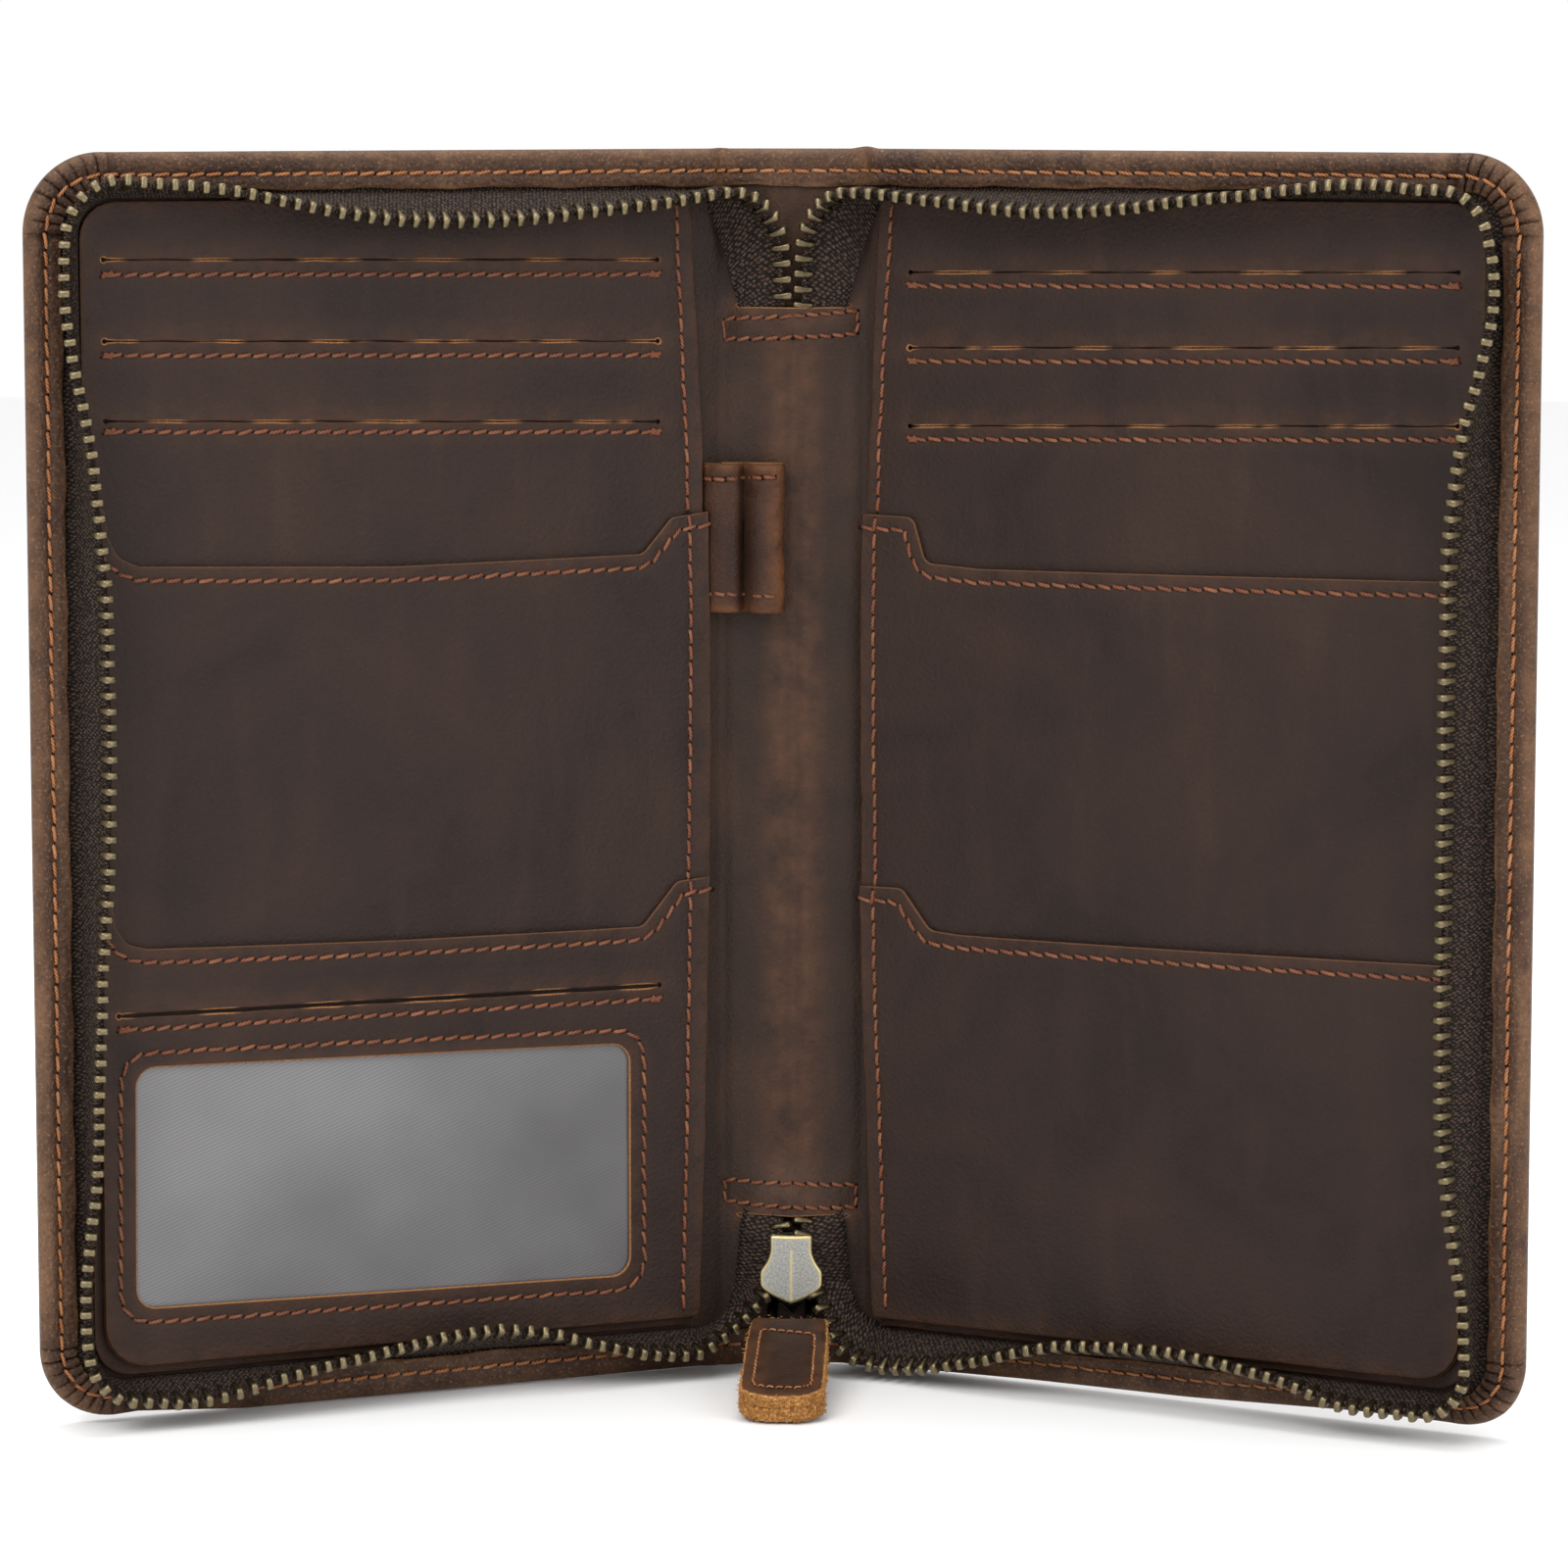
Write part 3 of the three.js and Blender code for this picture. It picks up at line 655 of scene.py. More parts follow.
def tape_material():
    """Woven zip tape: long knots in slanting rows, painted with highlights on their tops and shade in the
    gaps between them.
    """
    s = Shader("zip_tape")
    knots = s.node("TexVoronoi", {"Vector": s.scaled(1.5, 0.75, 34), "Scale": 1.25, "Randomness": 0.4})
    # knot tops painted light as highlights, knot edges painted dark as shade
    shade = s.range(knots.outputs["Distance"], 0.12, 0.6, 1.0, 0.0)
    colour = s.mix(shade, linear(12, 9, 8), linear(82, 63, 52))
    colour = s.mix(s.range(s.noise(0.7, 2.0, 0.7), 0.52, 0.7, 0, 0.55), colour, linear(112, 90, 75))
    # painted shade deepens the gaps between the knots
    colour = s.mix(s.range(shade, 0, 0.5, 0.8, 0), colour, linear(11, 8, 7))
    return s.finish(colour, 0.8, s.bump(shade, 0.5, 1.0), Specular_IOR_Level=0.2)


def metal_material(name, dark, light, rough, wear_light, speck, grain_depth=0.03):
    """Cast metal with dark patina in its hollows and bright worn edges."""
    s = Shader(name)
    wear = s.wear()
    patina = s.noise(speck, 4.0, 0.75)
    colour = s.mix(s.range(patina, 0.35, 0.65), dark, light)
    colour = s.mix(s.range(wear, 0.35, 0.9), colour, wear_light)
    grime = s.range(wear, 0.0, 0.3, 0.75, 0.0)
    colour = s.mix(grime, colour, linear(38, 31, 22))
    rough_now = s.range(patina, 0.3, 0.7, rough + 0.1, rough - 0.05)
    normal = s.bump(s.noise(speck * 0.7, 3.0, 0.7), grain_depth, 0.7)
    return s.finish(colour, rough_now, normal, Metallic=1.0)


def film_material():
    s = Shader("window_film")
    rows = s.node("TexWave", {"Vector": s.scaled(1, 1, -20), "Scale": 0.54, "Distortion": 0.3,
                              "Detail": 1.0}, bands_direction="Y").outputs["Fac"]
    across, up = s.node("SeparateXYZ", {"Vector": s.uv}).outputs[:2]
    # painted reflection: the film is lighter toward the window's upper outer corner
    slope = s.maths("ADD", s.range(across, -17, -108, 0, 0.55), s.range(up, 16, 61, 0, 0.35))
    reflection_and_cloud = s.maths("ADD", slope, s.range(s.noise(30, 2.0, 0.5), 0.3, 0.7, -0.15, 0.25))
    colour = s.mix(reflection_and_cloud, linear(66, 64, 66), linear(116, 115, 116))
    colour = s.mix(s.maths("MULTIPLY", rows, 0.3), colour, linear(54, 52, 54))
    normal = s.bump(rows, 0.02, 0.4)
    normal = s.bump(s.noise(14, 2.0, 0.5), 0.4, 0.5, after=normal)
    return s.finish(colour, 0.4, normal, Specular_IOR_Level=0.4, Coat_Weight=0.25, Coat_Roughness=0.16)


def plain_material(name, dark, light, size, rough, depth):
    s = Shader(name)
    n = s.noise(size, 4.0, 0.7)
    return s.finish(s.mix(s.range(n, 0.3, 0.7), dark, light), rough, s.bump(n, depth, 0.8))


HOLE_SHADE = hole_shade_material()
THREADS = [thread_material("waxed_thread", linear(72, 38, 24), linear(126, 74, 48),
                           linear(160, 106, 72)), HOLE_SHADE]
BORDER_THREADS = [thread_material("border_thread", linear(104, 58, 30), linear(168, 108, 64),
                                  linear(200, 146, 100)), HOLE_SHADE]
TAPE = tape_material()
BRASS = metal_material("zip_teeth", linear(50, 42, 30), linear(88, 77, 57), 0.36,
                       linear(132, 119, 92), speck=0.5)
NICKEL = metal_material("slider_metal", linear(128, 128, 124), linear(180, 179, 172), 0.42,
                        linear(204, 186, 132), speck=0.35, grain_depth=0.02)
# dark metal of the ring; also painted shade on the slider's back plate
DARK_METAL_AND_SHADE = metal_material("ring_metal_and_shade", linear(24, 25, 22), linear(52, 52, 47), 0.22,
                            linear(96, 92, 78), speck=1.2)
FILM = film_material()
FABRIC = plain_material("slot_fabric", linear(24, 20, 18), linear(46, 38, 33), 0.4, 0.9, 0.2)
BOARD = plain_material("stiffener_board", linear(120, 110, 94), linear(160, 148, 126), 1.2, 0.9, 0.1)


# ---- outer leather: one skin, its edge turned in over the border and sewn ----
PLEATS = 9
PLEAT_STEPS = (0, 0.05, 0.12, 0.28, 0.5, 0.72, 0.88, 0.95)
# (distance in from the edge, depth) from the back's flat, round the edge, to the border's cut edge
RIM = [(5.4, 0), (4.5, 0), (4.05, 0.07), (3.7, 0.16), (3.35, 0.07), (2.8, 0), (2.0, 0.03), (1.2, 0.2),
       (0.6, 0.6), (0.2, 1.2), (0, 1.9), (0, 2.6), (0.18, 3.3), (0.55, 3.95), (1.1, 4.4), (1.8, 4.62),
       (2.5, 4.66), (3.05, 4.58), (3.4, 4.42), (3.7, 4.33), (4.0, 4.42), (4.4, 4.56), (4.9, 4.6),
       (5.4, 4.56), (5.85, 4.48), (6.08, 4.36), (6.2, 4.14), (6.2, 3.75), (6.05, 3.6), (4.6, 3.5),
       (2.6, 3.3), (1.7, 2.7), (1.5, 2.0), (1.9, 1.4), (3.0, 1.2), (4.4, 1.2)]
# columns of RIM: the front's first, the rubbed outer turn, the inner groove lip, the hidden return
FRONT, TURN, LIP, HIDDEN = 12, slice(8, 15), slice(24, 26), 29
CUT_INSET = 6.07  # beyond this the border is bare, cut leather
PEAK = {"left": 0.3, "right": 0.55}  # how far the top and bottom edges stand up at a crease
FORE = CREASE_X + COVER_WIDTH
PLUMP = 0.8  # how far the fore edges swell out
FORE_SHIFT = 1.2  # how far the border is drawn out over a fore edge
GROOVE_TOP = 4.33  # the depth of the border's sewn groove


def rim_stations():
    """Places round half of the opened skin: (u, z), the way in, and the pleat phase or -1."""
    straight = np.concatenate([np.arange(0, 8, 2), np.arange(8, 19, 0.55),
                               np.arange(19, FORE - CORNER_RADIUS - 1, 1.8)])
    rows = [((u, HEIGHT), (0, -1), -1) for u in straight]
    steps = [(k + f) / PLEATS for k in range(PLEATS) for f in PLEAT_STEPS] + [1.0]
    centre = FORE - CORNER_RADIUS

    def corner(z, quarter, phase):
        for t in steps:
            a = math.pi / 2 * (quarter - t)
            out = (math.cos(a), math.sin(a))
            rows.append(((centre + CORNER_RADIUS * out[0], z + CORNER_RADIUS * out[1]),
                         (-out[0], -out[1]), t * PLEATS + phase))

    corner(HEIGHT - CORNER_RADIUS, 1, 0)
    for z in np.arange(HEIGHT - CORNER_RADIUS - 1.5, CORNER_RADIUS + 0.5, -1.8):
        rows.append(((FORE, z), (-1, 0), -1))
    corner(CORNER_RADIUS, 0, PLEATS * 2)
    rows += [((u, 0.0), (0, 1), -1) for u in straight[::-1]]
    return [np.array(column, float) for column in zip(*rows)]


def rim_level(u):
    """The border's depth: lower across the spine, pinched at the creases."""
    a = np.abs(u - CREASE_X)
    return (SPINE_RIM_TOP + (RIM_TOP - SPINE_RIM_TOP) * smooth((u - CREASE_X + 3) / 7)
            - 0.55 * np.exp(-(a / 0.9) ** 2) + 0.25 * np.exp(-((a - 2.6) / 1.3) ** 2))


def pleat_dip(phase, inset, seed):
    """How far a gathered corner is pressed in: a sharp fold at each whole phase."""
    reach = np.random.default_rng(seed).uniform(0.55, 1.0, 4 * PLEATS + 2)
    start = np.random.default_rng(seed + 1).uniform(-1.2, 0.3, 4 * PLEATS + 2)
    near = np.clip(np.round(phase), 0, 4 * PLEATS + 1).astype(int)
    off = phase - near
    fold = 0.85 * reach[near] * np.exp(-(np.abs(off) / 0.075) ** 1.3)
    puff = 0.16 * np.cos(off * 2 * math.pi) - 0.05
    edge = np.minimum(phase % (2 * PLEATS), 1) * np.minimum(PLEATS - np.minimum(
        phase % (2 * PLEATS), PLEATS), 1)
    return np.where(phase < 0, 0, fold * smooth((inset - start[near]) / 1.6)
                    + puff * smooth((inset - 1.5) / 2) * np.clip(edge, 0, 1))


def shell(name, side):
    """Half of the outer leather: its rim, swept round the edge, then its two flats."""
    place = place_sheet(side)
    at, way, phase = rim_stations()
    run = lengths(at)
    profile = np.array(RIM)
    d, w = profile.T
    rows, columns = len(at), len(profile)
    order = np.arange(columns)
    front = order >= FRONT
    ragged = ((d > 5.6) & front) * (0.28 * ripple(run, 5 + side, 23))[:, None]
    slack = (front & (w > 3.4)) * (0.1 * ripple(run, 9 + side, 31))[:, None]
    inset = d - ragged
    level = rim_level(at[:, 0])[:, None]
    depth = np.where(w > SHELL_INNER, SHELL_INNER + (w - SHELL_INNER) * (level - SHELL_INNER)
                     / (RIM_TOP - SHELL_INNER), w) + slack
    on_top = smooth((w - 2) / 1.6) * front
    dip = pleat_dip(phase[:, None], inset, 20 + side)
    depth = depth - dip * on_top
    from_crease = (at[:, 0] - CREASE_X)[:, None]
    peak = PEAK[name] * np.exp(-(from_crease / 3.2) ** 2) * smooth(1 - d / 3) * front
    level_part = (order > FRONT + 1) & (w > 3.2)
    plump = PLUMP * smooth(1 - d / 6) + FORE_SHIFT * smooth((d - 0.8) / 3) * level_part
    nip = 0.4 * dip * on_top * smooth(1 - d / 1.5)
    spot = at[:, None] + way[:, None] * (inset - peak - np.abs(way[:, :1]) * plump + nip)[..., None]
    uv = at[:, None] - way[:, None] * (lengths(profile) - d[0])[:, None]
    wear = np.zeros((rows, columns))
    wear[:, TURN] = [0.1, 0.2, 0.3, 0.36, 0.4, 0.3, 0.15]
    wear[:, LIP] = [0.3, 0.46]
    wear = np.where((d > CUT_INSET) & front, np.where(w > 4.2, 0.6, 0.95), wear)
    wear[:, HIDDEN:] = 1.0
    wear = np.maximum(wear, np.where(order < LIP.stop, 0.46 * np.exp(-(from_crease / 2.5) ** 2), 0))
    wear = np.clip(wear - np.where((wear < 0.5) & front, np.clip(dip, 0, 1), 0), 0, 1)
    build = Build()
    build.add(place(spot[..., 0], spot[..., 1], depth), grid_faces(rows, columns), uv * [side, 1],
              wear, flip=side < 0)
    columns_u = np.concatenate([np.arange(1.5, 8, 2.2), np.arange(8, 19, 0.8), np.arange(19.5, 133, 3)])
    for index, w0, flip in ((0, 0.0, True), (columns - 1, SHELL_INNER, False)):
        ring = spot[:, index]
        interior = fill_points([ring], (columns_u, np.arange(4, HEIGHT, 3.0)), [], margin=1.0)
        flat, faces = triangles([ring], interior)
        inner = flat[rows:]
        bulge = 0.16 * ripple(inner[:, 0], 3, 60) * ripple(inner[:, 1], 4, 80)
        bulge *= smooth(distance_to(inner, [ringed(ring)]) / 12) * (index == 0)
        offset = build.count
        points = place(inner[:, 0], inner[:, 1], w0 + bulge)
        crease_wear = 0.46 * np.exp(-((inner[:, 0] - CREASE_X) / 2.2) ** 2)
        build.add(points, [], inner * [side, 1], crease_wear if index == 0 else 1.0)
        mapped = np.where(faces < rows, faces * columns + index, faces - rows + offset)
        for face in mapped.tolist():
            build.faces.append(face[::-1] if flip != (side < 0) else face)
            build.slots.append(0)
    return build.object(f"{name}_shell", [OUTER])


def fold_blend(obj):
    """Bakes the placement into leather that turns from the spine to a cover about the crease."""
    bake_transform(obj)


def sewn(name, rows, side=1, materials=THREADS):
    """One object of thread for a list of (place, path, surface, settings) rows."""
    build = Build()
    for place, path, surface, settings in rows:
        stitches(build, place, side, path, surface, **settings)
    return build.object(name, materials)


def level(value):
    return lambda s, z: np.zeros(np.shape(s)) + value


def border_path(inset, shift):
    """A line along the border, drawn out at the fore edge as the border is."""
    fore, radius = FORE - inset, CORNER_RADIUS - inset
    path = rounded([(0, HEIGHT - inset), (fore, HEIGHT - inset), (fore, inset), (0, inset)],
                   [0, radius, radius, 0], steps=14, closed=False)
    path = divided(path, 2, closed=False)
    turn = np.clip((path[:, 0] - FORE + CORNER_RADIUS) / radius, 0, 1)
    up = np.sqrt(1 - turn ** 2) * np.sign(path[:, 1] - HEIGHT / 2)
    return path + shift * turn[:, None] * np.column_stack([turn, up])


for name, side in SIDES.items():
    skin = shell(name, side)
    fold_blend(skin)
    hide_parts(f"{name}_outer_leather", "spine_outer_leather")
    path = border_path(BORDER_STITCH, FORE_SHIFT + 0.25)
    back_path = border_path(BORDER_STITCH, 0.25)
    place = place_sheet(side)

    def front(u, z):
        share = (rim_level(u) - SHELL_INNER) / (RIM_TOP - SHELL_INNER)
        return SHELL_INNER + (GROOVE_TOP - SHELL_INNER) * share

    thread = sewn(f"{name}_border_thread", [
        (place, path, front, {"slant": 0.18, "pitch": 2.9}),
        (place, back_path[::-1], level(0.36), {"slant": 0.1, "pitch": 2.9, "face": -1})],
                  side=side, materials=BORDER_THREADS)
    fold_blend(thread)


# ---- lining: one leather over the spine and under the panels, slit where the zip ends tuck in ----
SLIT_HALF = 9.1
TOP_SLIT, BOTTOM_SLIT = 181.8, 26.2
LINING_INSET = 4.6
# half of each sewn row across the spine, as (x, z) on its own side
SEWN_TOP = {"left": [(0, 180.0), (12.1, 179.4), (12.1, 176.0), (0, 176.4)],
            "right": [(0, 180.0), (10.9, 180.9), (10.9, 177.0), (0, 176.4)]}
SEWN_BOTTOM = {"left": [(0, 31.9), (12.1, 32.2), (12.1, 28.4), (0, 28.0)],
               "right": [(0, 31.9), (10.9, 31.5), (10.9, 27.6), (0, 28.0)]}


def lining(name, side):
    """Half of the lining, with half of each slit and the swell where the zip's ends lie beneath."""
    far, top = FORE - LINING_INSET, HEIGHT - LINING_INSET
    outline = rounded([(0, LINING_INSET), (far, LINING_INSET), (far, top), (0, top)], [0, 8, 8, 0])
    outline = outline.tolist()
    for z in (TOP_SLIT, BOTTOM_SLIT):
        outline += [(0, z + 0.3), (SLIT_HALF, z + 0.25), (SLIT_HALF + 0.4, z), (SLIT_HALF, z - 0.25),
                    (0, z - 0.3)]
    outline = divided(outline, 2.5)

    def lift(u, z):
        chain = np.exp(-(u / 3.4) ** 2)
        top = np.where(z < TOP_SLIT, smooth((z - 170.5) / 8.5), 0)
        top = top * (1 - smooth((u - 7.5) / 3.8)) * (1.35 + 1.25 * chain)
        bottom = np.where(z > BOTTOM_SLIT, smooth((37.5 - z) / 10.5), 0)
        bottom = bottom * (1 - smooth((u - 5.8) / 4.4)) * (1.9 + 1.7 * chain)
        waves = 0.2 * ripple(u, 31, 11) * (0.6 + 0.4 * ripple(z, 32 + side, 90))
        waves = waves * smooth(u / 4) * (1 - smooth((u - 13) / 4))
        crease = -0.3 * np.exp(-((u - CREASE_X + 0.6) / 1.1) ** 2)
        return top + bottom + waves + crease

    rows = [divided(p[k:k + 2], 1.5, closed=False)
            for p in (SEWN_TOP[name], SEWN_BOTTOM[name]) for k in range(3)]
    columns = np.concatenate([np.arange(0.8, 9, 1.3), np.arange(9, 18, 0.9), np.arange(19, far, 9.0)])
    grid = (columns, np.arange(LINING_INSET + 1.3, HEIGHT - LINING_INSET, 2.1))
    obj, surface = layer(f"{name}_lining_leather", place_sheet(side), side, [outline], (2.3, 2.95),
                         [LINED], grid=grid, stitches=rows, lift=lift, seam=True, outline_raw=0.9)
    fold_blend(obj)
    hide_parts(f"{name}_lining", "spine_lining")
    thread = sewn(f"{name}_lining_thread", [(place_sheet(side), p, surface, {"pitch": 2.4})
                                            for p in rows], side=side)
    fold_blend(thread)


for name, side in SIDES.items():
    lining(name, side)

# ---- panels and pockets ----
FREE_EDGE = {  # how far each panel's free edge lies from the crease, by height
    "left": [(0, 6.9), (30, 5.8), (85, 4.5), (120, 4.2), (147, 4.5), (167, 5.0), (200, 6.9)],
    "right": [(0, 4.7), (45, 3.0), (84, 1.7), (120, 1.4), (147, 1.7), (167, 2.6), (200, 4.1)],
}
EDGE_STITCH = {
    "left": [(7, 9.3), (51, 8.3), (85, 7.7), (118, 7.2), (151, 7.3), (167, 7.9), (184, 8.7), (199, 9.2)],
    "right": [(7, 6.8), (31, 5.8), (64, 4.4), (84, 3.9), (118, 3.4), (151, 3.7), (167, 4.4), (185, 5.4),
              (199, 6.3)],
}
SLITS = {  # inner and outer end of each card slot: (s, z), then how far below it the stitching runs
    "left": [((12.6, 189.6), (108.8, 190.8), 2.4), ((12.6, 176.0), (108.8, 177.7), 2.3),
             ((12.6, 162.5), (108.8, 164.8), 1.7)],
    "right": [((9.7, 187.5), (108.1, 189.1), 2.2), ((9.7, 174.9), (108.1, 177.1), 2.2),
              ((9.7, 161.8), (108.3, 164.6), 2.2)],
}
MOUTHS = {  # pocket mouths from the fore edge in to the spine side: (s, z, corner radius)
    ("left", "middle"): [(109.6, 152, 0), (108.9, 146, 3), (107.2, 142.7, 3), (103.8, 141.2, 3),
                         (60, 139.8, 0), (15.8, 140.4, 2.2), (10.5, 146.4, 2), (3.9, 147.2, 0)],
    ("left", "lower"): [(109.6, 88, 0), (108.9, 82.6, 3), (107.0, 79.6, 3), (103.4, 78.7, 3),
                        (60, 77.7, 0), (16.4, 77.4, 2.2), (10.1, 84.8, 2), (4.2, 85.3, 0)],
    ("right", "middle"): [(111, 139.8, 0), (60, 138.9, 0), (23.3, 138.4, 0), (13.2, 139.0, 2),
                          (10.9, 146.6, 2), (1.3, 146.8, 0)],
    ("right", "lower"): [(111, 77.8, 0), (60, 77.0, 0), (20, 76.6, 0), (14.8, 77.0, 2.4),
                         (9.4, 83.8, 2), (1.4, 83.7, 0)],
}
POCKETS = (("middle", MIDDLE, 80), ("lower", LOWER, None))  # depth, where the edge stitching ends
ID_SLIT = ((13.4, 67.2), (108.5, 67.9), 2.3)
SLIT_GAP, ID_SLIT_GAP = 0.13, 0.6
SLIT_END = 0.4  # radius of the punched hole at a slit's end
WINDOW = [(19.0, 17.8), (106.0, 19.2), (105.6, 59.1), (19.0, 57.5)]
WINDOW_ROUND = 3.2
WINDOW_STITCH = [(16.3, 15.1), (108.9, 16.8), (108.3, 61.7), (16.3, 59.9)]
WINDOW_STITCH_ROUND = 4.6
MOUTH_LIP = {"middle": 0.42, "lower": 0.6}  # how far a pocket's mouth stands open
STITCH_DROP = 2.3  # from a pocket's mouth down to its stitching
LONG_STITCH = {"slant": 0.13}  # rows down a free edge lie straighter


def curve_of(stops):
    z, s = np.array(stops, float).T
    line = catmull(np.column_stack([z, s]), 120)
    return lambda height: np.interp(height, line[:, 0], line[:, 1])


def free_line(name, top, base, shift):
    """The free edge from top down to base, as (s, z)."""
    z = np.arange(top, base, -2.2)
    z = np.append(z, base)
    wobble = 0.09 * ripple(z, 61 + SIDES[name], 17)
    return np.column_stack([curve_of(FREE_EDGE[name])(z) + shift + wobble, z])


def slit_loop(inner, outer, gap):
    """A slit with a small punched hole at each end."""
    inner, outer = np.array(inner), np.array(outer)
    way = unit(outer - inner)
    turn = np.radians(np.linspace(-155, 155, 9))
    across = np.array([-way[1], way[0]])
    cap = [outer + SLIT_END * (way * math.cos(t) + across * math.sin(t)) for t in turn]
    back = [inner - SLIT_END * (way * math.cos(t) + across * math.sin(t)) for t in turn]
    length = np.linalg.norm(outer - inner)
    run = np.arange(2.0, length - 1.0, 2.0)
    rag = 0.07 * ripple(run, int(length * 10) % 97, 9)
    low = [inner + way * r + across * (-gap / 2 + g) for r, g in zip(run, rag)]
    top = [inner + way * r + across * (gap / 2 - g * 0.4) for r, g in zip(run[::-1], rag)]
    return np.array(low + cap + top + back)


def sag(s, z, seed):
    return 0.2 * ripple(s + 0.25 * z, seed, 74) * ripple(z - 0.2 * s, seed + 1, 63)


def lip(s, z, line, height, reach, start, end):
    """Leather below an opening stands a little proud of what is above it."""
    s_line, z_line = np.array(sorted(map(tuple, line))).T
    below = np.interp(s, s_line, z_line) - z
    held = smooth((s - start) / 12) * smooth((end - s) / 12)
    return np.where(below > -0.05, height * np.exp(-np.maximum(below, 0) / reach), 0) * held


def shifted(line, distance):
    """A line moved sideways to its left, for stitching beside an edge."""
    line = np.asarray(line, float)
    along = unit(np.gradient(line, axis=0))
    return line + np.stack([-along[:, 1], along[:, 0]], 1) * distance


def tack(build, place, side, spot, surface):
    """A knot where a row of stitching was fastened off."""
    angles = np.random.default_rng(400).uniform(-0.7, 0.7, 4)
    for n, a in enumerate(angles):
        d = np.array([math.cos(a), math.sin(a)]) * (0.95 - 0.1 * n)
        mid = spot + [0.25 * n - 0.4, 0.12 * (-1) ** n]
        stitches(build, place, side, [mid - d, mid + d], surface, pitch=2.2, slant=0, hole=0.16,
                 thread=0.36)


def slit_row(slit, start, end):
    """The stitching below a slit, from start in to end short of the slit's own ends."""
    inner, outer, drop = slit
    return divided([(inner[0] + start, inner[1] - drop), (outer[0] - end, outer[1] - drop)], 3,
                   closed=False)


def cover_layers(name, side):
    """Everything sewn on a cover: fabric behind the slots, the slot panel, two pockets, the thread."""
    place = place_cover(side)
    body = f"{name}_cover"
    seed = 40 + 10 * side
    free, stitch_s = curve_of(FREE_EDGE[name]), curve_of(EDGE_STITCH[name])
    fore, top = COVER_WIDTH - LAYER_INSET, HEIGHT - LAYER_INSET

    def edge_row(high, low):
        z = np.arange(high, low, -2.0)
        return np.column_stack([stitch_s(z), z])

    def edge_wave(s, z):
        return 0.25 * np.exp(-np.maximum(s - free(z), 0) / 2.5) * ripple(z, seed + 3, 55)

    def slit_lip(s, z, slit, height, reach):
        inner, outer, _ = slit
        return lip(s, z, [inner, outer], height, reach, inner[0] - 4, outer[0] + 4)

    def keep(obj, slot, *nodes):
        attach(obj, body)
        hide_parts(*nodes)

    # fabric behind the card slots
    back, _ = layer(f"{name}_slot_lining", place, side,
                    [divided([(10, 112), (111, 112), (111, 193), (10, 193)], 6)], BACKING, [FABRIC],
                    grid=6, bevel=0.1)
    keep(back, "slot_fabric", f"{name}_slot_backing")

    # slot panel
    outline = rounded([(free(LAYER_INSET), LAYER_INSET), (fore, LAYER_INSET), (fore, top),
                       (free(top), top)], [0, 6, 6, 0])
    outline = np.concatenate([divided(outline, 2.4, closed=False)[:-1],
                              free_line(name, top, LAYER_INSET, 0)[:-1]])
    slits = [slit_loop(inner, outer, SLIT_GAP) for inner, outer, _ in SLITS[name]]
    slot_rows = [slit_row(slit, 0.6, 0.4) for slit in SLITS[name]]
    edge_sewing = edge_row(top - 1, 146)

    def panel_lift(s, z):
        h = sag(s, z, seed) + edge_wave(s, z)
        for slit in SLITS[name]:
            h = h + slit_lip(s, z, slit, 0.34, 2.2)
        return h

    panel, panel_top = layer(f"{name}_card_panel", place, side, [outline] + slits, PANEL, [INNER],
                             stitches=slot_rows + [edge_sewing], lift=panel_lift)
    keep(panel, "inner_leather", f"{name}_slot_panel")
    rows = [(row, panel_top, {}) for row in slot_rows] + [(edge_sewing, panel_top, LONG_STITCH)]
    knots = [(row[end], panel_top) for end in (0, -1) for row in slot_rows]

    # pockets
    for level_name, depth, sewn_to in POCKETS:
        mouth = np.array(MOUTHS[name, level_name], float)
        mouth_line = divided(rounded(mouth[:, :2], mouth[:, 2], steps=5, closed=False), 2.4, closed=False)
        low_line = mouth_line[mouth_line[:, 0] > mouth_line[-1, 0] + 8]
        far = COVER_WIDTH - POCKET_INSET
        base = POCKET_INSET + 0.4 * (level_name == "lower")
        bottom = rounded([(free(base), base), (far, base), (far, mouth_line[0, 1])], [0, 7, 0],
                         closed=False)
        bottom = divided(bottom, 2.4, closed=False)[:-1]
        mouth_line[0, 0] = far
        end_s, end_z = mouth_line[-1]
        side_line = free_line(name, end_z, base, end_s - free(end_z))
        outline = np.concatenate([bottom, mouth_line[:-1], side_line[:-1]])
        row = shifted(mouth_line, STITCH_DROP)
        row = row[row[:, 0] < far - 0.6]
        row[-1] = row[-1] + (row[-1] - row[-2]) * 0.2
        sewing = [row, edge_row(end_z - 0.4, sewn_to or base + 1)]
        holes = []
        if (name, level_name) == ("left", "lower"):
            holes = [slit_loop(*ID_SLIT[:2], ID_SLIT_GAP), divided(rounded(WINDOW, WINDOW_ROUND), 2.2)]
            sewing += [slit_row(ID_SLIT, 0.8, 0.6),
                       divided(ringed(rounded(WINDOW_STITCH, WINDOW_STITCH_ROUND)), 2, closed=False)]

        def pocket_lift(s, z, line=low_line, height=MOUTH_LIP[level_name], holes=holes):
            h = sag(s, z, seed) + lip(s, z, line, height, 5.0, 18, 104) + edge_wave(s, z)
            return h + slit_lip(s, z, ID_SLIT, 0.45, 2.4) if holes else h

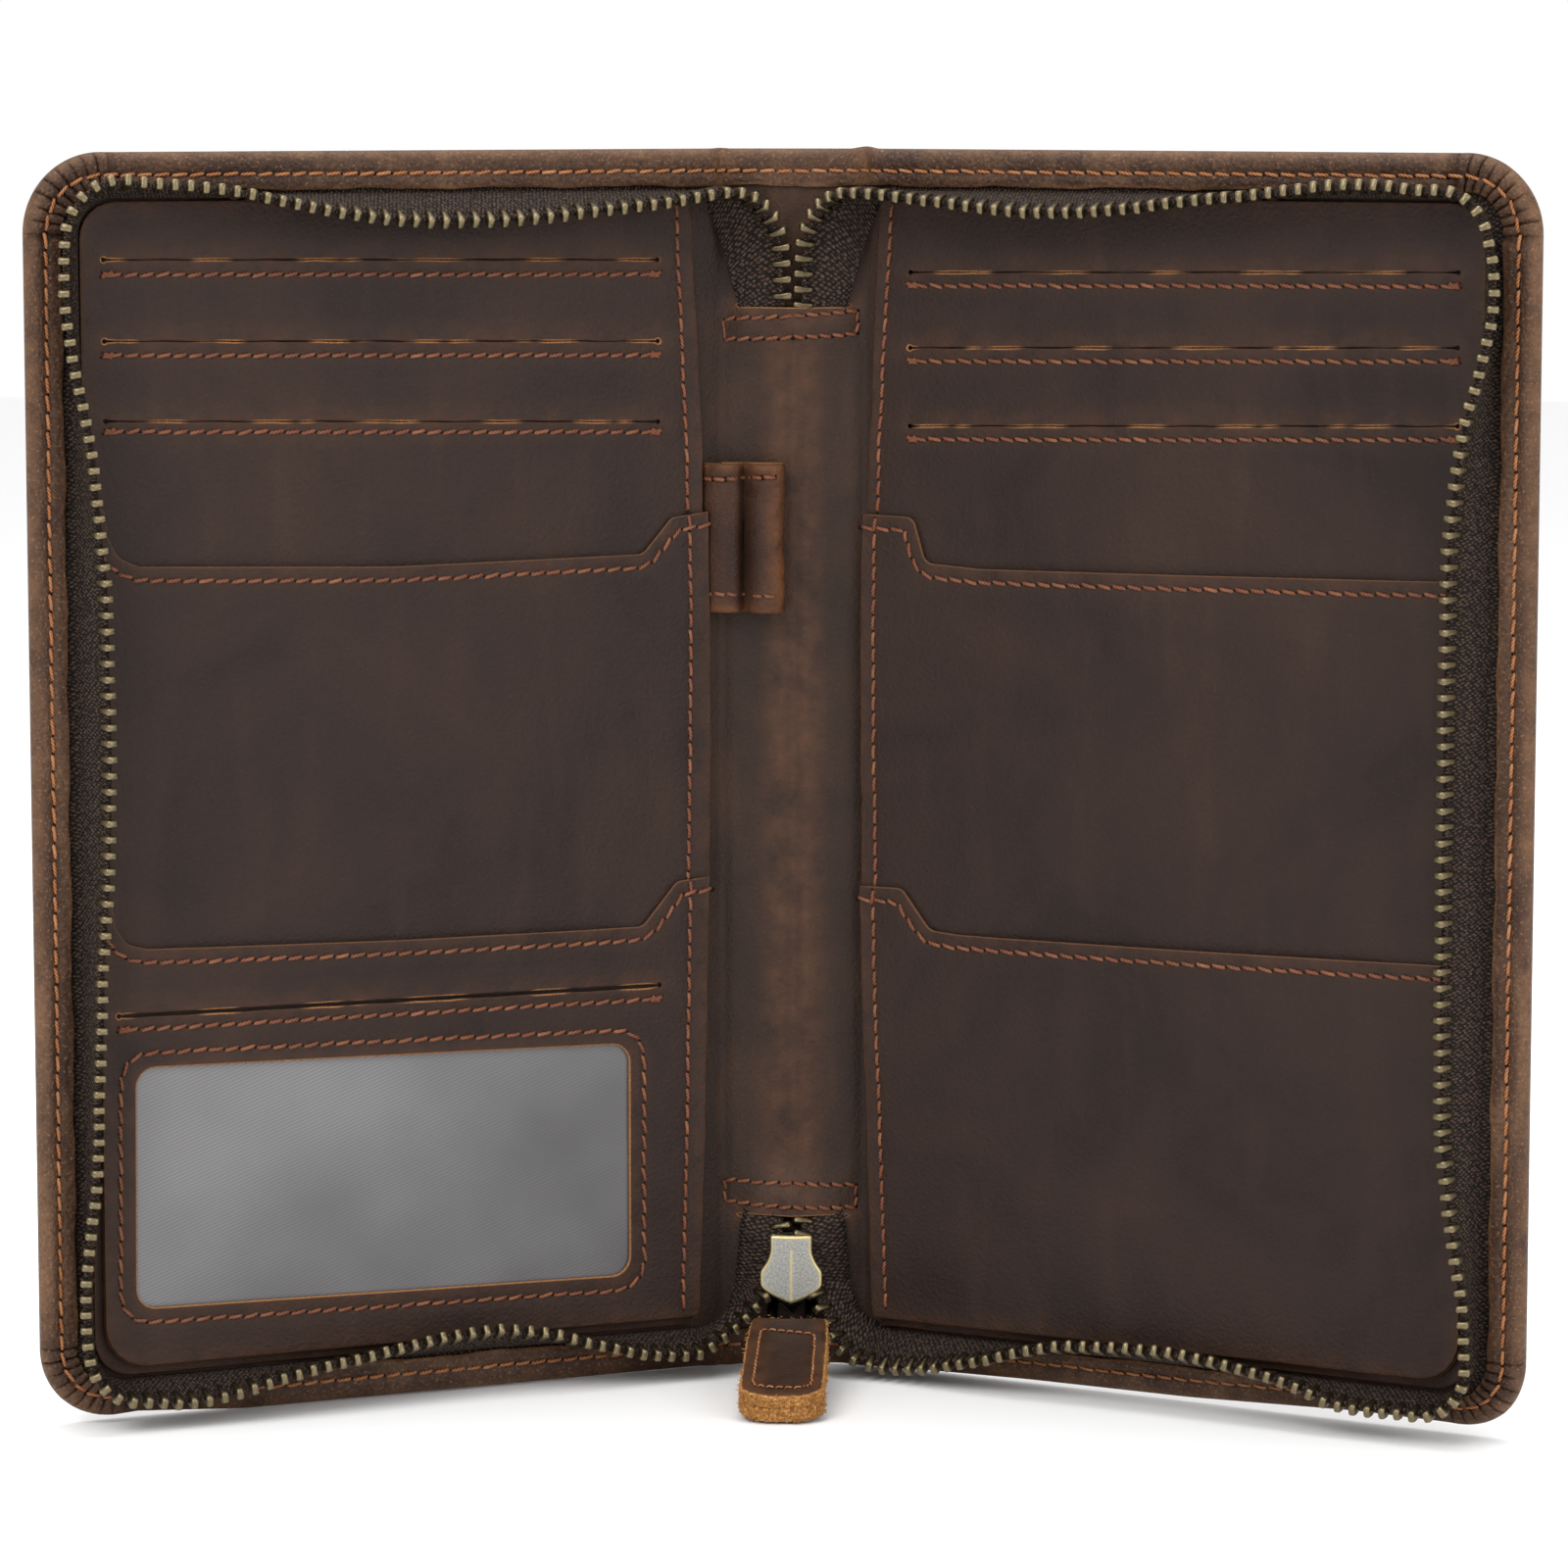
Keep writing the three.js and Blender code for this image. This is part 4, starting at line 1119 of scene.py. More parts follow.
        pocket, pocket_top = layer(f"{name}_{level_name}_pocket_leather", place, side, [outline] + holes,
                                   depth, [INNER], stitches=sewing, lift=pocket_lift)
        keep(pocket, "inner_leather", f"{name}_{level_name}_pocket")
        rows += [(path, pocket_top, LONG_STITCH if k == 1 else {}) for k, path in enumerate(sewing)]
        if holes:
            knots += [(sewing[2][end], pocket_top) for end in (0, -1)]
    build = Build()
    for path, surface, settings in rows:
        stitches(build, place, side, path, surface, **settings)
    for spot, surface in knots:
        tack(build, place, side, spot, surface)
    thread = build.object(f"{name}_cover_thread", THREADS)
    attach(thread, body)


for name, side in SIDES.items():
    cover_layers(name, side)

# the clear window sits under the pocket's cut edge
film_edge = rounded([(17.2, 16), (107.8, 17.4), (107.4, 60.9), (17.2, 59.3)], 3)
film, _ = layer("window_film", place_cover(-1), -1, [divided(film_edge, 2)], (5.54, 5.76), [FILM], grid=2.5,
                bevel=0.05, lift=lambda s, z: sag(s, z, 30) + 0.1 * ripple(s, 71, 38) * ripple(z, 72, 33))
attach(film, "left_cover")
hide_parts("id_window_film")


# ---- ribbons: even thickness, rounded edges ----
def ribbon(build, grid, thickness, wear=0.0, edge_wear=1.0, flip=False):
    """A strip through a grid of points, rows along it and columns across it."""
    rows, columns = grid.shape[:2]
    along, across = np.gradient(grid, axis=0), np.gradient(grid, axis=1)
    normal = unit(np.cross(along, across))
    top, bottom = grid + normal * thickness / 2, grid - normal * thickness / 2
    wear = np.broadcast_to(wear, (rows, columns)).ravel()
    n = rows * columns
    faces = grid_faces(rows, columns)
    faces += [[i + n for i in f[::-1]] for f in faces]
    points = [top.reshape(-1, 3), bottom.reshape(-1, 3)]
    index = np.arange(n).reshape(rows, columns)
    uv = strip_uv(grid).reshape(-1, 2)
    uvs, count = [uv, uv + 300], 2 * n
    for line, out in ((index[:, 0][::-1], -across[:, 0][::-1]), (index[:, -1], across[:, -1]),
                      (index[0], -along[0]), (index[-1][::-1], along[-1][::-1])):
        points.append(grid.reshape(-1, 3)[line] + unit(out) * thickness * 0.3)
        uvs.append(uv[line])
        for k in range(len(line) - 1):
            a, b, m = line[k], line[k + 1], count + k
            faces += [[a, m, m + 1, b], [m, a + n, b + n, m + 1]]
        count += len(line)
    wears = np.concatenate([wear, wear, np.full(count - 2 * n, edge_wear)])
    build.add(np.concatenate(points), faces, np.concatenate(uvs), wears, flip=flip)


def strip_uv(grid):
    along = lengths(grid[:, grid.shape[1] // 2])
    across = lengths(grid[grid.shape[0] // 2])
    return np.stack(np.meshgrid(along, across, indexing="ij"), -1)


# ---- pen loop ----
PEN_Z = (130.3, 155.1)
# (x, depth) over the flat end on the cover, the sewn trough and the round tube, then back beneath
PEN_SECTION = [(-18.2, 3.45), (-16.2, 3.7), (-14.6, 4.9), (-13.0, 6.1), (-11.2, 6.6), (-9.6, 6.1),
               (-8.85, 4.6), (-8.25, 3.95), (-7.65, 4.6), (-6.6, 6.8), (-5.0, 7.8), (-3.2, 7.7),
               (-2.0, 6.8), (-1.75, 5.6), (-2.4, 4.4), (-3.8, 3.75), (-8, 3.5), (-12, 3.45)]
PEN_TOP_END = -2.3  # where the loop's upper side turns down


def pen_loop():
    """A leather tube for a pen, sewn down beside the left crease and free over the spine."""
    section = catmull(PEN_SECTION, 84)
    z = np.linspace(*PEN_Z, 22)
    x = section[None, :, 0] + 0.18 * ripple(z, 91, 26)[:, None] * smooth((section[:, 0] + 12) / 6)[None]
    w = section[None, :, 1] + 0.3 * ripple(z, 92, 30)[:, None] * smooth((section[:, 1] - 4) / 3)[None]
    grid = place_spine(x, z[:, None] + 0 * x, w)
    # the tube's rounded upper side is painted lighter: rubbed wear and a painted highlight
    bright = 0.5 * smooth((section[:, 0] + 5.5) / 3.5) * (section[:, 1] > 4.2)
    wear = np.maximum(bright[None] * (0.7 + 0.3 * ripple(z, 93, 12))[:, None],
                      0.4 * np.exp(-np.minimum(z - z[0], z[-1] - z) / 1.1)[:, None])
    build = Build()
    ribbon(build, grid, 0.8, wear=wear)
    obj = build.object("pen_loop_leather", [LOOP])
    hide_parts("pen_loop")
    top = section[:int(np.argmax(section[:, 0] > PEN_TOP_END))]
    run = lengths(top)

    def surface(s, _):
        return np.interp(s, run, top[:, 1]) + 0.42

    def place(s, z, w):
        s, z, w = np.broadcast_arrays(s, z, w)
        return place_spine(np.interp(s, run, top[:, 0]), z, w)

    start, end = np.interp([-15.3, -2.6], top[:, 0], run)
    thread = sewn("pen_loop_thread", [
        (place, [(start, z0), (end, z1)], surface, {"pitch": 2.3, "slant": 0.12})
        for z0, z1 in ((152.6, 153.2), (133.3, 132.9))])
    for piece in (obj, thread):
        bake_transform(piece)


pen_loop()

# ---- zip ----
LEAN = {  # how far the teeth lean in over the pockets (+) or out (-), by distance along the zip
    "left": [(-20, 0), (0, 0), (20, 2.2), (45, 4.05), (66, 2.95), (86, -0.6), (100, -2), (124, -4), (146, -1),
             (160, 0.5), (176, 1.6), (206, 1.75), (226, 0.7), (236, 0), (266, -1.15), (288, -3.1),
             (304, -1.8), (316, -2.6), (336, 0.8), (364, 4.1), (376, 3.15), (386, 0.5), (400, -2.3),
             (415, -1.6), (430, -1.6)],
    "right": [(-20, -0.3), (0, -0.3), (20, 1.5), (40, 2.65), (66, 0.4), (92, -2), (106, -1.3), (122, -3.9),
              (136, -1.95), (146, 0.35), (160, 2.3), (178, 3), (248, 2.9), (266, 1.6), (276, 0.25),
              (288, -1.5), (318, -1.8), (326, 0), (336, 1.95), (352, 3.25), (370, 2.4), (386, -1.35),
              (400, -4.3), (415, -4), (430, -4)],
}
LEAN_CURVE = {name: catmull(stops, 400) for name, stops in LEAN.items()}
ZIP_START = 2.0
RIGID_FROM = 6.0  # the zip's first millimetres on a cover belong to the soft end piece
TOOTH_PITCH = 2.6
TAPE_THICK = 0.45
TAPE_COLUMNS = 15
CORD = 0.6  # radius of the beaded edge that carries the teeth
SET_OUT = 0.25  # how far the teeth sit out from that edge
OUT_FROM = -4  # the tape column that the teeth point away from
# the tape's section: fixed reach and rise, then the shares of the lean and of the stand
TAPE_SECTION = [(-3.6, -1.0, 0, 0), (-1.6, -0.98, 0, 0), (-0.6, -0.8, 0, 0), (-0.1, -0.1, 0, 0),
                (0, 0, 0.03, 0.12), (0, 0, 0.12, 0.3), (0, 0, 0.3, 0.5), (0, 0, 0.62, 0.76),
                (0, 0, 0.95, 0.95)]


def zip_path():
    radius = CORNER_RADIUS - TAPE_INSET
    fore, top = COVER_WIDTH - TAPE_INSET, HEIGHT - TAPE_INSET
    line = rounded([(ZIP_START, top), (fore, top), (fore, TAPE_INSET), (ZIP_START, TAPE_INSET)],
                   [0, radius, radius, 0], steps=16, closed=False)
    return divided(line, 1.0, closed=False)


ZIP_LINE = zip_path()
ZIP_RUN = lengths(ZIP_LINE)


def along_line(distance, run, line):
    """Points at distances along a line whose own points lie at run."""
    return np.stack([np.interp(distance, run, values) for values in line.T], -1)


def zip_frame(name, distance):
    """The zip's foot, the way in, and its lean and stand at distances along it."""
    foot = along_line(distance, ZIP_RUN, ZIP_LINE)
    along = unit(along_line(distance + 0.7, ZIP_RUN, ZIP_LINE)
                 - along_line(distance - 0.7, ZIP_RUN, ZIP_LINE))
    inward = np.stack([along[..., 1], -along[..., 0]], -1)
    lean = np.interp(distance, *LEAN_CURVE[name].T) + 0.12 * ripple(distance, 81 + SIDES[name], 23)
    return foot, inward, lean, np.sqrt(TAPE_STAND ** 2 - lean ** 2)


def tape_grid(name, distance):
    """The tape's middle surface: a row of points for each distance, from flange to beaded edge."""
    foot, inward, lean, stand = zip_frame(name, distance)
    section = catmull(TAPE_SECTION, TAPE_COLUMNS)
    reach = section[:, 0] + lean[:, None] * section[:, 2]
    rise = section[:, 1] + stand[:, None] * section[:, 3]
    p = foot[:, None] + inward[:, None] * reach[..., None]
    return place_cover(SIDES[name])(p[..., 0], p[..., 1], TAPE_FOOT + rise)


TUBE_UP = np.array([0.13, 0.21, 0.97])  # no tube here runs this way


def tube(build, path, radius, wear=0.0, spokes=10, closed=False, flat=1.0):
    """A round bar or cord along a line of points."""
    along = unit(np.roll(path, -1, 0) - np.roll(path, 1, 0) if closed else np.gradient(path, axis=0))
    one = unit(np.cross(along, TUBE_UP))
    two = np.cross(along, one)
    a = (np.arange(spokes) * 2 * math.pi / spokes)[:, None]
    radius = np.broadcast_to(radius, len(path))[:, None, None]
    points = path[:, None] + radius * (one[:, None] * np.cos(a) + flat * two[:, None] * np.sin(a))
    faces = [f[::-1] for f in grid_faces(len(path), spokes, wrap_rows=closed, wrap_columns=True)]
    if not closed:
        faces += [list(range(spokes)), [(len(path) - 1) * spokes + k for k in reversed(range(spokes))]]
    around = np.arange(spokes) * float(np.mean(radius)) * 6.28 / spokes
    build.add(points, faces, np.stack(np.meshgrid(lengths(path), around, indexing="ij"), -1), wear)


# a tooth: place along its length, sideways shift, half thickness, half width, wear
TOOTH = np.array([(-1.62, 0, 0.4, 0.8, 0.2), (-1.5, 0, 0.5, 1.02, 0.45), (-0.4, 0, 0.53, 1.06, 0.32),
                  (0, 0.02, 0.55, 1.04, 0.34), (0.4, 0.06, 0.63, 1.04, 0.5), (1.0, 0.1, 0.66, 1.02, 0.62),
                  (1.4, 0.12, 0.63, 0.98, 0.8), (1.62, 0.12, 0.52, 0.88, 0.9), (1.78, 0.12, 0.32, 0.6, 0.75)])
TOOTH_SPOKES = 12


def square(v):
    """Turns a circle's cosines and sines into a rounded square's."""
    return np.sign(v) * np.abs(v) ** 0.5


def teeth(build, origin, along, out):
    """A row of teeth at origins on the tape's edge; out points away from the tape."""
    along = unit(along)
    out = unit(out - along * (out * along).sum(-1, keepdims=True))
    across = np.cross(along, out)
    a = (np.arange(TOOTH_SPOKES) + 0.5) * 2 * math.pi / TOOTH_SPOKES
    l, shift, thick, wide, wear = TOOTH.T
    t = shift[:, None] + thick[:, None] * square(np.cos(a))
    n = wide[:, None] * square(np.sin(a))
    points = (origin[:, None, None] + out[:, None, None] * l[None, :, None, None]
              + along[:, None, None] * t[None, ..., None] + across[:, None, None] * n[None, ..., None])
    per = len(l) * TOOTH_SPOKES
    one = grid_faces(len(l), TOOTH_SPOKES, wrap_columns=True)
    one += [list(range(TOOTH_SPOKES))[::-1], list(range(per - TOOTH_SPOKES, per))]
    one = [f[::-1] for f in one]
    faces = [[i + k * per for i in f] for k in range(len(origin)) for f in one]
    edge = np.abs(np.cos(a)) * np.abs(np.sin(a)) * 2
    shade = np.clip(wear[:, None] * 0.55 + 0.5 * edge[None] * (wear[:, None] > 0.2), 0, 1)
    uv = np.stack(np.broadcast_arrays(l[None, :, None] + np.arange(len(origin))[:, None, None] * 5.1,
                                      np.arange(TOOTH_SPOKES)[None, None] * 0.5), -1)
    build.add(points, faces, uv, np.broadcast_to(shade, (len(origin), *shade.shape)))


def cover_zip(name, side):
    """The stiff length of tape round a cover, with its teeth."""
    total = ZIP_RUN[-1]
    grid = tape_grid(name, np.arange(RIGID_FROM, total - RIGID_FROM + 0.01, (total - 2 * RIGID_FROM) / 280))
    build = Build()
    ribbon(build, grid, TAPE_THICK, edge_wear=0.0, flip=side > 0)
    tube(build, grid[:, -1], CORD, spokes=8)
    tape = build.object(f"{name}_tape", [TAPE])
    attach(tape, f"{name}_cover")
    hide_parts(f"{name}_zip_tape")

    def edge(d):
        return tape_grid(name, d)[:, -1]

    fine = np.linspace(RIGID_FROM, total - RIGID_FROM, 1600)
    run = lengths(edge(fine))
    count = int(round(run[-1] / TOOTH_PITCH))
    spots = np.interp((np.arange(count) + 0.5) * run[-1] / count, run, fine)
    origin = edge(spots)
    out = origin - tape_grid(name, spots)[:, OUT_FROM]
    build = Build()
    teeth(build, origin + unit(out) * SET_OUT, edge(spots + 0.5) - edge(spots - 0.5), out)
    row = build.object(f"{name}_teeth", [BRASS])
    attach(row, f"{name}_cover")
    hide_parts(f"{name}_zip_teeth")


for name, side in SIDES.items():
    cover_zip(name, side)


# ---- the zip's ends: each tape runs from its cover across the fold and tucks in through a slit ----
# Stations on the right-hand side, from the cover to under the slit: the tape's foot, the middle of
# its teeth, and the way the teeth point, as (x, z, depth).
TOP_END = [
    ((14.6, 200.6, 5.3), (11.6, 200.7, 13.9), (-0.3, -0.42, 0.85)),
    ((13.5, 198.5, 4.7), (8.7, 200.4, 11.9), (-0.5, -0.5, 0.7)),
    ((12.4, 195.5, 4.4), (6.0, 198.9, 9.5), (-0.7, -0.5, 0.52)),
    ((11.5, 192.7, 4.2), (3.7, 196.2, 7.3), (-0.8, -0.4, 0.42)),
    ((10.9, 190.0, 4.1), (2.25, 193.0, 6.0), (-0.9, -0.2, 0.3)),
    ((10.5, 187.2, 4.0), (1.9, 189.4, 5.3), (-0.97, -0.05, 0.2)),
    ((10.0, 184.6, 3.9), (1.8, 185.8, 4.9), (-1, 0, 0.1)),
    ((9.3, 182.4, 3.7), (1.75, 182.6, 4.4), (-1, 0, 0.05)),
    ((8.5, 180.0, 3.2), (1.75, 180.0, 3.3), (-1, 0, 0)),
    ((8.3, 177.5, 3.0), (1.75, 177.5, 3.0), (-1, 0, 0)),
]
BOTTOM_FOOT = [(14.4, 7.3, 5.6), (13.0, 8.0, 5.1), (12.0, 8.9, 4.9), (11.1, 10.0, 4.7), (10.4, 11.8, 4.6),
               (10.0, 13.6, 4.5), (9.7, 15.6, 4.4), (9.5, 17.8, 4.3), (9.3, 20.0, 4.2), (9.1, 22.6, 4.1),
               (8.9, 24.8, 4.0), (8.5, 26.6, 3.6), (8.2, 29.5, 3.3)]
BOTTOM_RIM = {
    "left": [(13.3, 6.0, 14.5), (11.15, 7.3, 13.2), (9.3, 8.7, 12.0), (7.5, 10.5, 10.9), (6.4, 11.8, 10.2),
             (5.4, 13.0, 9.5)],
    "right": [(13.0, 3.2, 13.9), (11.2, 3.7, 13.3), (9.5, 4.8, 12.7), (8.0, 6.5, 12.0), (6.8, 8.6, 11.1),
              (5.5, 11.0, 10.0)],
}
BOTTOM_RIM_IN = [(4.1, 14.2, 8.7), (2.9, 16.8, 8.35), (2.0, 19.4, 8.3), (1.85, 22.0, 8.0), (1.85, 24.2, 6.9),
                 (1.85, 26.2, 5.0), (1.85, 29.5, 3.3)]
BOTTOM_OUT = [(-0.08, -0.6, 0.8), (-0.2, -0.6, 0.77), (-0.35, -0.57, 0.74), (-0.45, -0.53, 0.72),
              (-0.52, -0.5, 0.69), (-0.6, -0.45, 0.66), (-0.75, -0.3, 0.5), (-0.92, -0.1, 0.3), (-1, 0, 0.1),
              (-1, 0, 0.05), (-1, 0, 0), (-1, 0, 0), (-1, 0, 0)]
END_ROWS = 64


def column_places():
    """Where each tape column lies between the foot (0) and the beaded edge (1)."""
    section = catmull(TAPE_SECTION, TAPE_COLUMNS)
    flat = section[:, :2] + np.column_stack([section[:, 2] * 0, section[:, 3] * TAPE_STAND])
    run = lengths(flat)
    foot = np.interp(0, flat[:, 1], run)
    return (run - foot) / (run[-1] - foot)


def end_section(foot, rim, out, flange):
    """One station's columns: hidden flange, foot, slack belly, edge under the teeth."""
    foot, rim, out = (np.array(v, float) for v in (foot, rim, out))
    out = unit(out)
    edge = rim - out * SET_OUT
    handle = edge - out * 3.4
    second = foot + (handle - foot) * 0.5
    c = column_places()[:, None]
    t = np.clip(c, 0, 1)
    curve = ((1 - t) ** 3 * foot + 3 * (1 - t) ** 2 * t * second + 3 * (1 - t) * t ** 2 * handle
             + t ** 3 * edge)
    return curve + np.minimum(c, 0) * unit(second - foot) * 9 * flange


def zip_end(name, side, level_name, stations):
    """A tape's soft end: it starts where the cover's stiff length stops, and follows the stations."""
    total = ZIP_RUN[-1]
    joint = RIGID_FROM if level_name == "top" else total - RIGID_FROM
    sections = [tape_grid(name, np.array([joint]))[0]]
    for k, station in enumerate(stations):
        x, z, w = end_section(*station, flange=max(0.0, 0.35 - 0.06 * k)).T
        sections.append(place_spine(side * x, z, w))
    flat = np.array(sections).reshape(len(sections), -1)
    grid = catmull(flat, END_ROWS).reshape(END_ROWS, TAPE_COLUMNS, 3)
    if level_name == "top":
        grid = grid[::-1]
    build = Build()
    ribbon(build, grid, TAPE_THICK, edge_wear=0.0, flip=side > 0)
    tube(build, grid[:, -1], CORD, spokes=8)
    tape = build.object(f"{level_name}_{name}_zip_end", [TAPE])
    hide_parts(f"{level_name}_{name}_zip_tape_end")

    if level_name == "top":
        grid = grid[::-1]
    edge, out = grid[:, -1], unit(grid[:, -1] - grid[:, OUT_FROM])
    run = lengths(edge)
    first = TOOTH_PITCH / 2
    last = run[-1] - 0.8 - (TOOTH_PITCH / 2 if side > 0 else 0)
    count = int(round((last - first) / TOOTH_PITCH))
    spots = np.linspace(first, last, count + 1)
    out = unit(along_line(spots, run, out))
    ahead = along_line(spots + 0.5, run, edge) - along_line(spots - 0.5, run, edge)
    if level_name == "top":
        ahead = -ahead
    build = Build()
    teeth(build, along_line(spots, run, edge) + out * SET_OUT, ahead, out)
    row = build.object(f"{level_name}_{name}_end_teeth", [BRASS])
    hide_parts(f"{level_name}_zip_chain")
    for piece in (tape, row):
        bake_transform(piece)


for name, side in SIDES.items():
    zip_end(name, side, "top", TOP_END)
    rims = BOTTOM_RIM[name] + BOTTOM_RIM_IN
    zip_end(name, side, "bottom", list(zip(BOTTOM_FOOT, rims, BOTTOM_OUT)))

# ---- slider ----
LUG_W, LUG_Z = 4.9, 12.6
PIN_W, PIN_Z = 15.8, 8.6
LUG_RADIUS = 1.45
# the right half of the slider's shield, from its point up to its shoulder: (x, z)
SHIELD = [(0, 12.3), (1.0, 12.62), (2.6, 13.3), (4.3, 14.35), (5.15, 15.2), (5.3, 16.4), (5.25, 17.7),
          (4.95, 18.3), (4.3, 19.3), (3.75, 20.6), (3.58, 21.8), (3.6, 24.0)]
SHIELD_STEPS = 44
FACE_PLATE = [(0.55, 9.6, 0.1), (0.12, 9.66, 0.3), (0, 9.9, 0.45), (0, 10.25, 0.6), (0.1, 10.46, 0.9),
              (0.32, 10.56, 0.95)]
BACK_PLATE = [(0.5, 6.0, 0.3), (0.1, 6.1, 0.5), (0, 6.35, 0.45), (0, 6.9, 0.3), (0.15, 7.15, 0.2),
              (0.4, 7.2, 0.1)]
POST_PLATE = [(0.1, 7.0, 0.1), (0, 7.3, 0.2), (0, 9.4, 0.2), (0.1, 9.7, 0.1)]
POST = [(0, 13.1), (0.75, 13.9), (1.1, 15), (0.7, 16.2), (0, 17.3), (-0.7, 16.2), (-1.1, 15),
        (-0.75, 13.9)]
LIP_DEPTHS = (9.5, 7.3)


def shield_outline():
    right = catmull(SHIELD, SHIELD_STEPS)
    right = np.concatenate([right[:-1], [[3.6, 23.75], [3.45, 24.02]]])
    top = np.column_stack([np.linspace(3.1, 0, 6), 24.05 + 0.06 * np.cos(np.linspace(0.4, 1.57, 6))])
    half = np.concatenate([right, top])
    return np.concatenate([half, (half * [-1, 1])[::-1][1:-1]])


def ring_quads(rings, n):
    """Faces between rings of n points that are stacked one after the other."""
    return [(r * n + k, r * n + (k + 1) % n, (r + 1) * n + (k + 1) % n, (r + 1) * n + k)
            for r in range(rings - 1) for k in range(n)]


def slab(build, outline, profile, crown=None, grid=0.75, crown_wear=None, slot=0):
    """A solid plate on the spine: (inset, depth, wear) rings from its underside to its face, which
    may be crowned."""
    outline = outline if area(outline) > 0 else outline[::-1]
    move = inset_normals(outline, False)
    inner = outline + move * profile[-1][0]
    interior = fill_points([inner], grid, [], margin=grid * 0.4)
    flat, faces = triangles([inner], interior)
    n = len(outline)
    points, wear = [], []
    for inset, depth, worn in profile[:-1]:
        p = outline + move * inset
        points.append(np.column_stack([p, np.full(n, depth)]))
        wear.append(np.full(n, worn))
    base = n * (len(profile) - 1)
    depth = np.full(len(flat), profile[-1][1])
    worn = np.full(len(flat), profile[-1][2])
    if crown:
        depth += crown(*flat.T)
        worn[n:] = crown_wear(*flat[n:].T)
    points.append(np.column_stack([flat, depth]))
    wear.append(worn)
    under = outline + move * (profile[0][0] + 0.3)
    points.append(np.column_stack([under, np.full(n, profile[0][1])]))
    wear.append(np.full(n, 0.1))
    every = np.concatenate(points)
    quads = ring_quads(len(profile), n)
    last = base + len(flat)
    quads += [(last + k, last + (k + 1) % n, (k + 1) % n, k) for k in range(n)]
    bottom = (triangles([under], np.zeros((0, 2)))[1] + last)[:, ::-1].tolist()
    x, z, w = every.T
    build.add(place_spine(x, z, w), quads + (faces + base).tolist() + bottom,
              np.column_stack([x, z + w * 1.3]), np.concatenate(wear), slot=slot)


def slider():
    """Two plates on a post, with lips at the sides and a lug for the ring behind."""
    build = Build()
    outline = shield_outline()

    def ridge(x, z):
        return 0.26 * (1 - np.abs(x) / 5.3) + 0.16 * np.exp(-(x / 0.22) ** 2) * smooth((22.4 - z) / 1.4)

    def rubbed(x, z):
        middle = np.exp(-(x / 0.16) ** 2) * smooth((22.2 - z) / 1.2)
        edge = distance_to(np.stack([x, z], 1), [ringed(outline)])
        return np.clip(0.33 + 0.62 * middle + 0.4 * np.exp(-edge / 0.4), 0, 0.95)

    slab(build, outline, FACE_PLATE, crown=ridge, crown_wear=rubbed, grid=0.2)
    # the back plate is drawn lower than the front, with a tongue at its middle, in the dark ring metal:
    # painted shade filling the dark gap under the slider's point
    lower = 1.5 * smooth((18 - outline[:, 1]) / 4)
    tongue = 1.1 * np.exp(-(outline[:, 0] / 1.5) ** 2) * smooth((15 - outline[:, 1]) / 2)
    back = outline * [0.97, 1] - np.column_stack([0 * lower, lower + tongue])
    slab(build, back, BACK_PLATE, slot=1)
    slab(build, catmull(ringed(POST), 33)[:-1], POST_PLATE)
    # rolled lips that keep the teeth in line
    run = np.linspace(17.9, 23.7, 20)
    half_x, half_z = outline[:SHIELD_STEPS - 4].T
    order = np.argsort(half_z)
    half = np.interp(run, half_z[order], half_x[order]) - 0.42
    for side in (-1, 1):
        for depth in LIP_DEPTHS:
            tube(build, place_spine(side * half, run, depth), 0.36, wear=0.3)
    # the lug behind, which the ring hangs from
    turn = np.radians(np.linspace(100, 395, 26))
    arc = np.column_stack([0 * turn, LUG_Z + LUG_RADIUS * np.sin(turn), LUG_W + LUG_RADIUS * np.cos(turn)])
    arc = np.concatenate([[[0, 17.4, 6.3], [0, 16.2, 5.7]], arc[2:], [[0, 13.9, 6.5]]])
    arc = catmull(arc, 40)
    tube(build, place_spine(*arc.T), 0.55, wear=0.35, spokes=14)
    obj = build.object("slider_body", [NICKEL, DARK_METAL_AND_SHADE])
    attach(obj, "slider")
    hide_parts("zip_slider")


slider()


# ---- ring and pull, drawn along their own slope from their hinges ----
RING_HALF = 3.2


def place_slope(w, z, angle):
    """Places by (x, distance out, height) on a slope that falls toward the front."""
    c, s = math.cos(angle), math.sin(angle)

    def place(x, out, height):
        x, out, height = np.broadcast_arrays(x, out, height)
        return np.stack([x, CREASE_Y - w - out * c - height * s, z - out * s + height * c], -1)
    return place


def pull_ring():
    reach = math.hypot(PIN_W - LUG_W, LUG_Z - PIN_Z)
    place = place_slope(LUG_W, LUG_Z, math.atan2(LUG_Z - PIN_Z, PIN_W - LUG_W))
    loop = rounded([(-RING_HALF, 0), (RING_HALF, 0), (RING_HALF, reach), (-RING_HALF, reach)], 1.5, steps=7)
    loop = divided(loop, 0.5)
    height = 0.05 * ripple(loop[:, 0] + 2 * loop[:, 1], 12, 9)
    build = Build()
    # the arms are drawn wide so the dark metal also covers the shaded gap between them: real dark metal and
    # painted shade
    wide = 0.6 + 0.36 * smooth((np.abs(loop[:, 0]) - 1.6) / 1.2)
    tube(build, place(loop[:, 0], loop[:, 1], height), wide, wear=0.4, spokes=16, closed=True, flat=0.66)
    obj = build.object("pull_ring_wire", [DARK_METAL_AND_SHADE])
    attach(obj, "pull_ring")
    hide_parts("pull_ring")


pull_ring()

